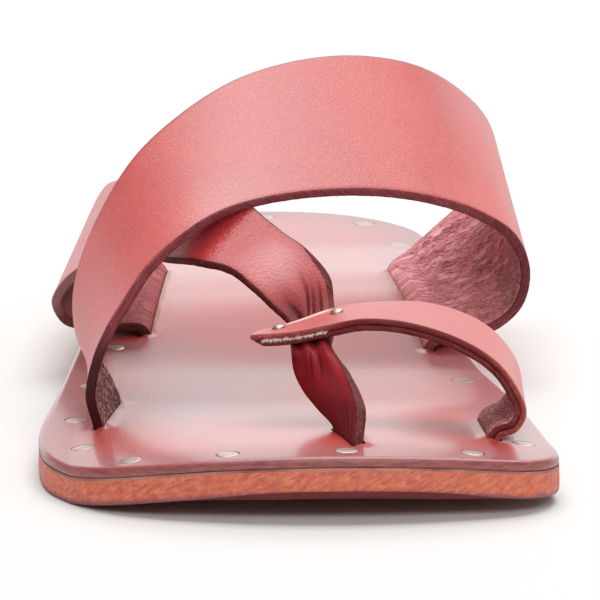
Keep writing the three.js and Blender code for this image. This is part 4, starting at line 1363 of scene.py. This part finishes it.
def fibre(length, radius):
    """Points and faces of a thin bent fibre: three-sided, tapering to its tip."""
    bent = [(radius * (1 - FIBRE_TAPER * s), length * s, length * bend) for s, bend in FIBRE_BENDS]
    return lathe(bent, FIBRE_SIDES)


def edge_fibres(name, strap, rows, depths, shape, material, sizes, seed):
    """Loose fibres that stand out of a strap's front edge, at a row and a depth each."""
    front, normals, outwards = strap_at(strap, rows, np.zeros_like(rows))
    seats = front - normals * depths[:, None] - outwards * FIBRE_ROOT
    piece = set_pieces(name, seats, outwards, shape, material, sizes, FIBRE_LEAN, seed)
    return piece


def loop_fray():
    """Tufts of pale fibres between the loop's plies, on the front edge from the free end past the thong."""
    order = np.arange(LOOP_FIBRES)
    start, end = LOOP_FRAY_ROWS
    rows = start + (end - start) * (order / (LOOP_FIBRES - 1)) ** LOOP_FRAY_CROWDING
    tuft = np.sin(rows * LOOP_TUFT_WAVES[0]) * np.sin(rows * LOOP_TUFT_WAVES[1] + LOOP_TUFT_SHIFT)
    below, least, most = LOOP_FRAY_DEPTH
    depths = PLY_THICK + below + (least + most * np.abs(tuft)) * np.sin(order * SCATTER[0])
    kept = tuft < LOOP_TUFT_GAP
    shape = fibre(length=0.45, radius=0.06)
    return edge_fibres("loop_fray", LOOP, rows[kept], depths[kept], shape, PALE_FIBRE, (0.4, 1.4), seed=11)


def instep_fray():
    """A few dark fibres along the lower line of the instep strap's front edge."""
    order = np.arange(INSTEP_FIBRES)
    start, end = INSTEP_FRAY_ROWS
    rows = start + (end - start) * order / INSTEP_FIBRES + ROW_JITTER * np.sin(order * SCATTER[0])
    depths = STRAP_THICK + INSTEP_FRAY_DEPTH[0] + INSTEP_FRAY_DEPTH[1] * np.sin(order * SCATTER[1])
    shape = fibre(length=0.5, radius=0.05)
    return edge_fibres("instep_fray", INSTEP, rows, depths, shape, EDGE_FIBRE, (0.4, 1.3), seed=7)


pieces = [outsole_piece(), insole_piece(), *build_straps()]
pieces += [nail_heads(), loop_rivets(), loop_fray(), instep_fray()]
for piece in pieces:
    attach(piece, "root")


# Stage, in metres

# Soft lights: name, place, aim, width and height, power
LIGHTS = (
    ("top_softbox", (0.05, 0.0, 1.40), (0.0, 0.0, 0.0), (0.9, 1.2), 18.5),
    ("back_softbox", (0.20, 0.98, 1.08), (0.0, 0.0, 0.0), (1.0, 0.8), 12),
    ("back_panel", (0.0, 1.9, 0.28), (0.0, 0.0, 0.02), (3.0, 0.56), 10),
    ("left_panel", (-1.7, 0.9, 0.25), (0.0, 0.0, 0.04), (1.6, 0.5), 1.5),
    ("right_panel", (1.7, -0.3, 0.25), (0.0, 0.0, 0.04), (1.2, 0.5), 3),
    ("front_fill", (0.2, -1.45, 0.95), (0.0, 0.0, 0.04), (1.2, 0.5), 10.5),
)
SKY_STRENGTH = 0.30
FLOOR_HALF = 12.0
CAMERA_PLACE = (0.000687, -1.93355, 0.4245)
CAMERA_DIP = 11.93
CAMERA_LENS = 575.1
CAMERA_SENSOR = 36.0
CAMERA_REACH = 100.0
# Scene brightness that shows as white, and points of the shoulder: scene brightness, shown brightness
FILM_WHITE = 1.25
FILM_SHOULDER = ((0.5, 0.5), (0.75, 0.69), (1.0, 0.85))


def paper_floor():
    """White paper sweep: matt, and a little grey, so that the lights just bring it to white."""
    paper = {"Base Color": linear("#e4e2e0"), "Roughness": 1.0, "Specular IOR Level": 0.0}
    mesh = bpy.data.meshes.new("floor")
    corners = [(x * FLOOR_HALF, y * FLOOR_HALF, 0) for x, y in ((-1, -1), (1, -1), (1, 1), (-1, 1))]
    mesh.from_pydata(corners, [], [(0, 1, 2, 3)])
    mesh.materials.append(make_material("white_paper_sweep", sockets=paper))
    add_object("floor", mesh)


def studio():
    """Soft boxes, low panels and a weak white sky."""
    world = bpy.data.worlds.new("studio_white")
    world.use_nodes = True
    sky = world.node_tree.nodes["Background"]
    sky.inputs["Color"].default_value = linear("#ffffff")
    sky.inputs["Strength"].default_value = SKY_STRENGTH
    bpy.context.scene.world = world
    for name, place, aim, size, power in LIGHTS:
        lamp = bpy.data.lights.new(name, "AREA")
        lamp.shape = "RECTANGLE"
        lamp.size, lamp.size_y = size
        lamp.energy = power
        made = add_object(name, lamp)
        made.location = place
        made.rotation_euler = (Vector(aim) - Vector(place)).to_track_quat("-Z", "Y").to_euler()
        made.visible_camera = False


def photo_camera():
    """Camera at the photograph's place: straight before the toe, well above it and dipped a little."""
    camera = bpy.data.cameras.new("photo_camera")
    camera.lens = CAMERA_LENS
    camera.sensor_width = CAMERA_SENSOR
    camera.clip_end = CAMERA_REACH
    made = add_object("photo_camera", camera)
    made.location = CAMERA_PLACE
    made.rotation_euler = (math.radians(90 - CAMERA_DIP), 0.0, 0.0)
    bpy.context.scene.camera = made


def film_response():
    """Soft shoulder, as a camera has, so that bright leather keeps its colour under a white floor."""
    settings = bpy.context.scene.view_settings
    settings.view_transform = "Standard"
    settings.use_curve_mapping = True
    response = settings.curve_mapping
    response.white_level = (FILM_WHITE, FILM_WHITE, FILM_WHITE)
    # The fourth curve is for all colours
    shoulder = response.curves[3]
    for scene_value, shown in FILM_SHOULDER:
        shoulder.points.new(scene_value / FILM_WHITE, shown)
    response.update()


paper_floor()
studio()
photo_camera()
film_response()
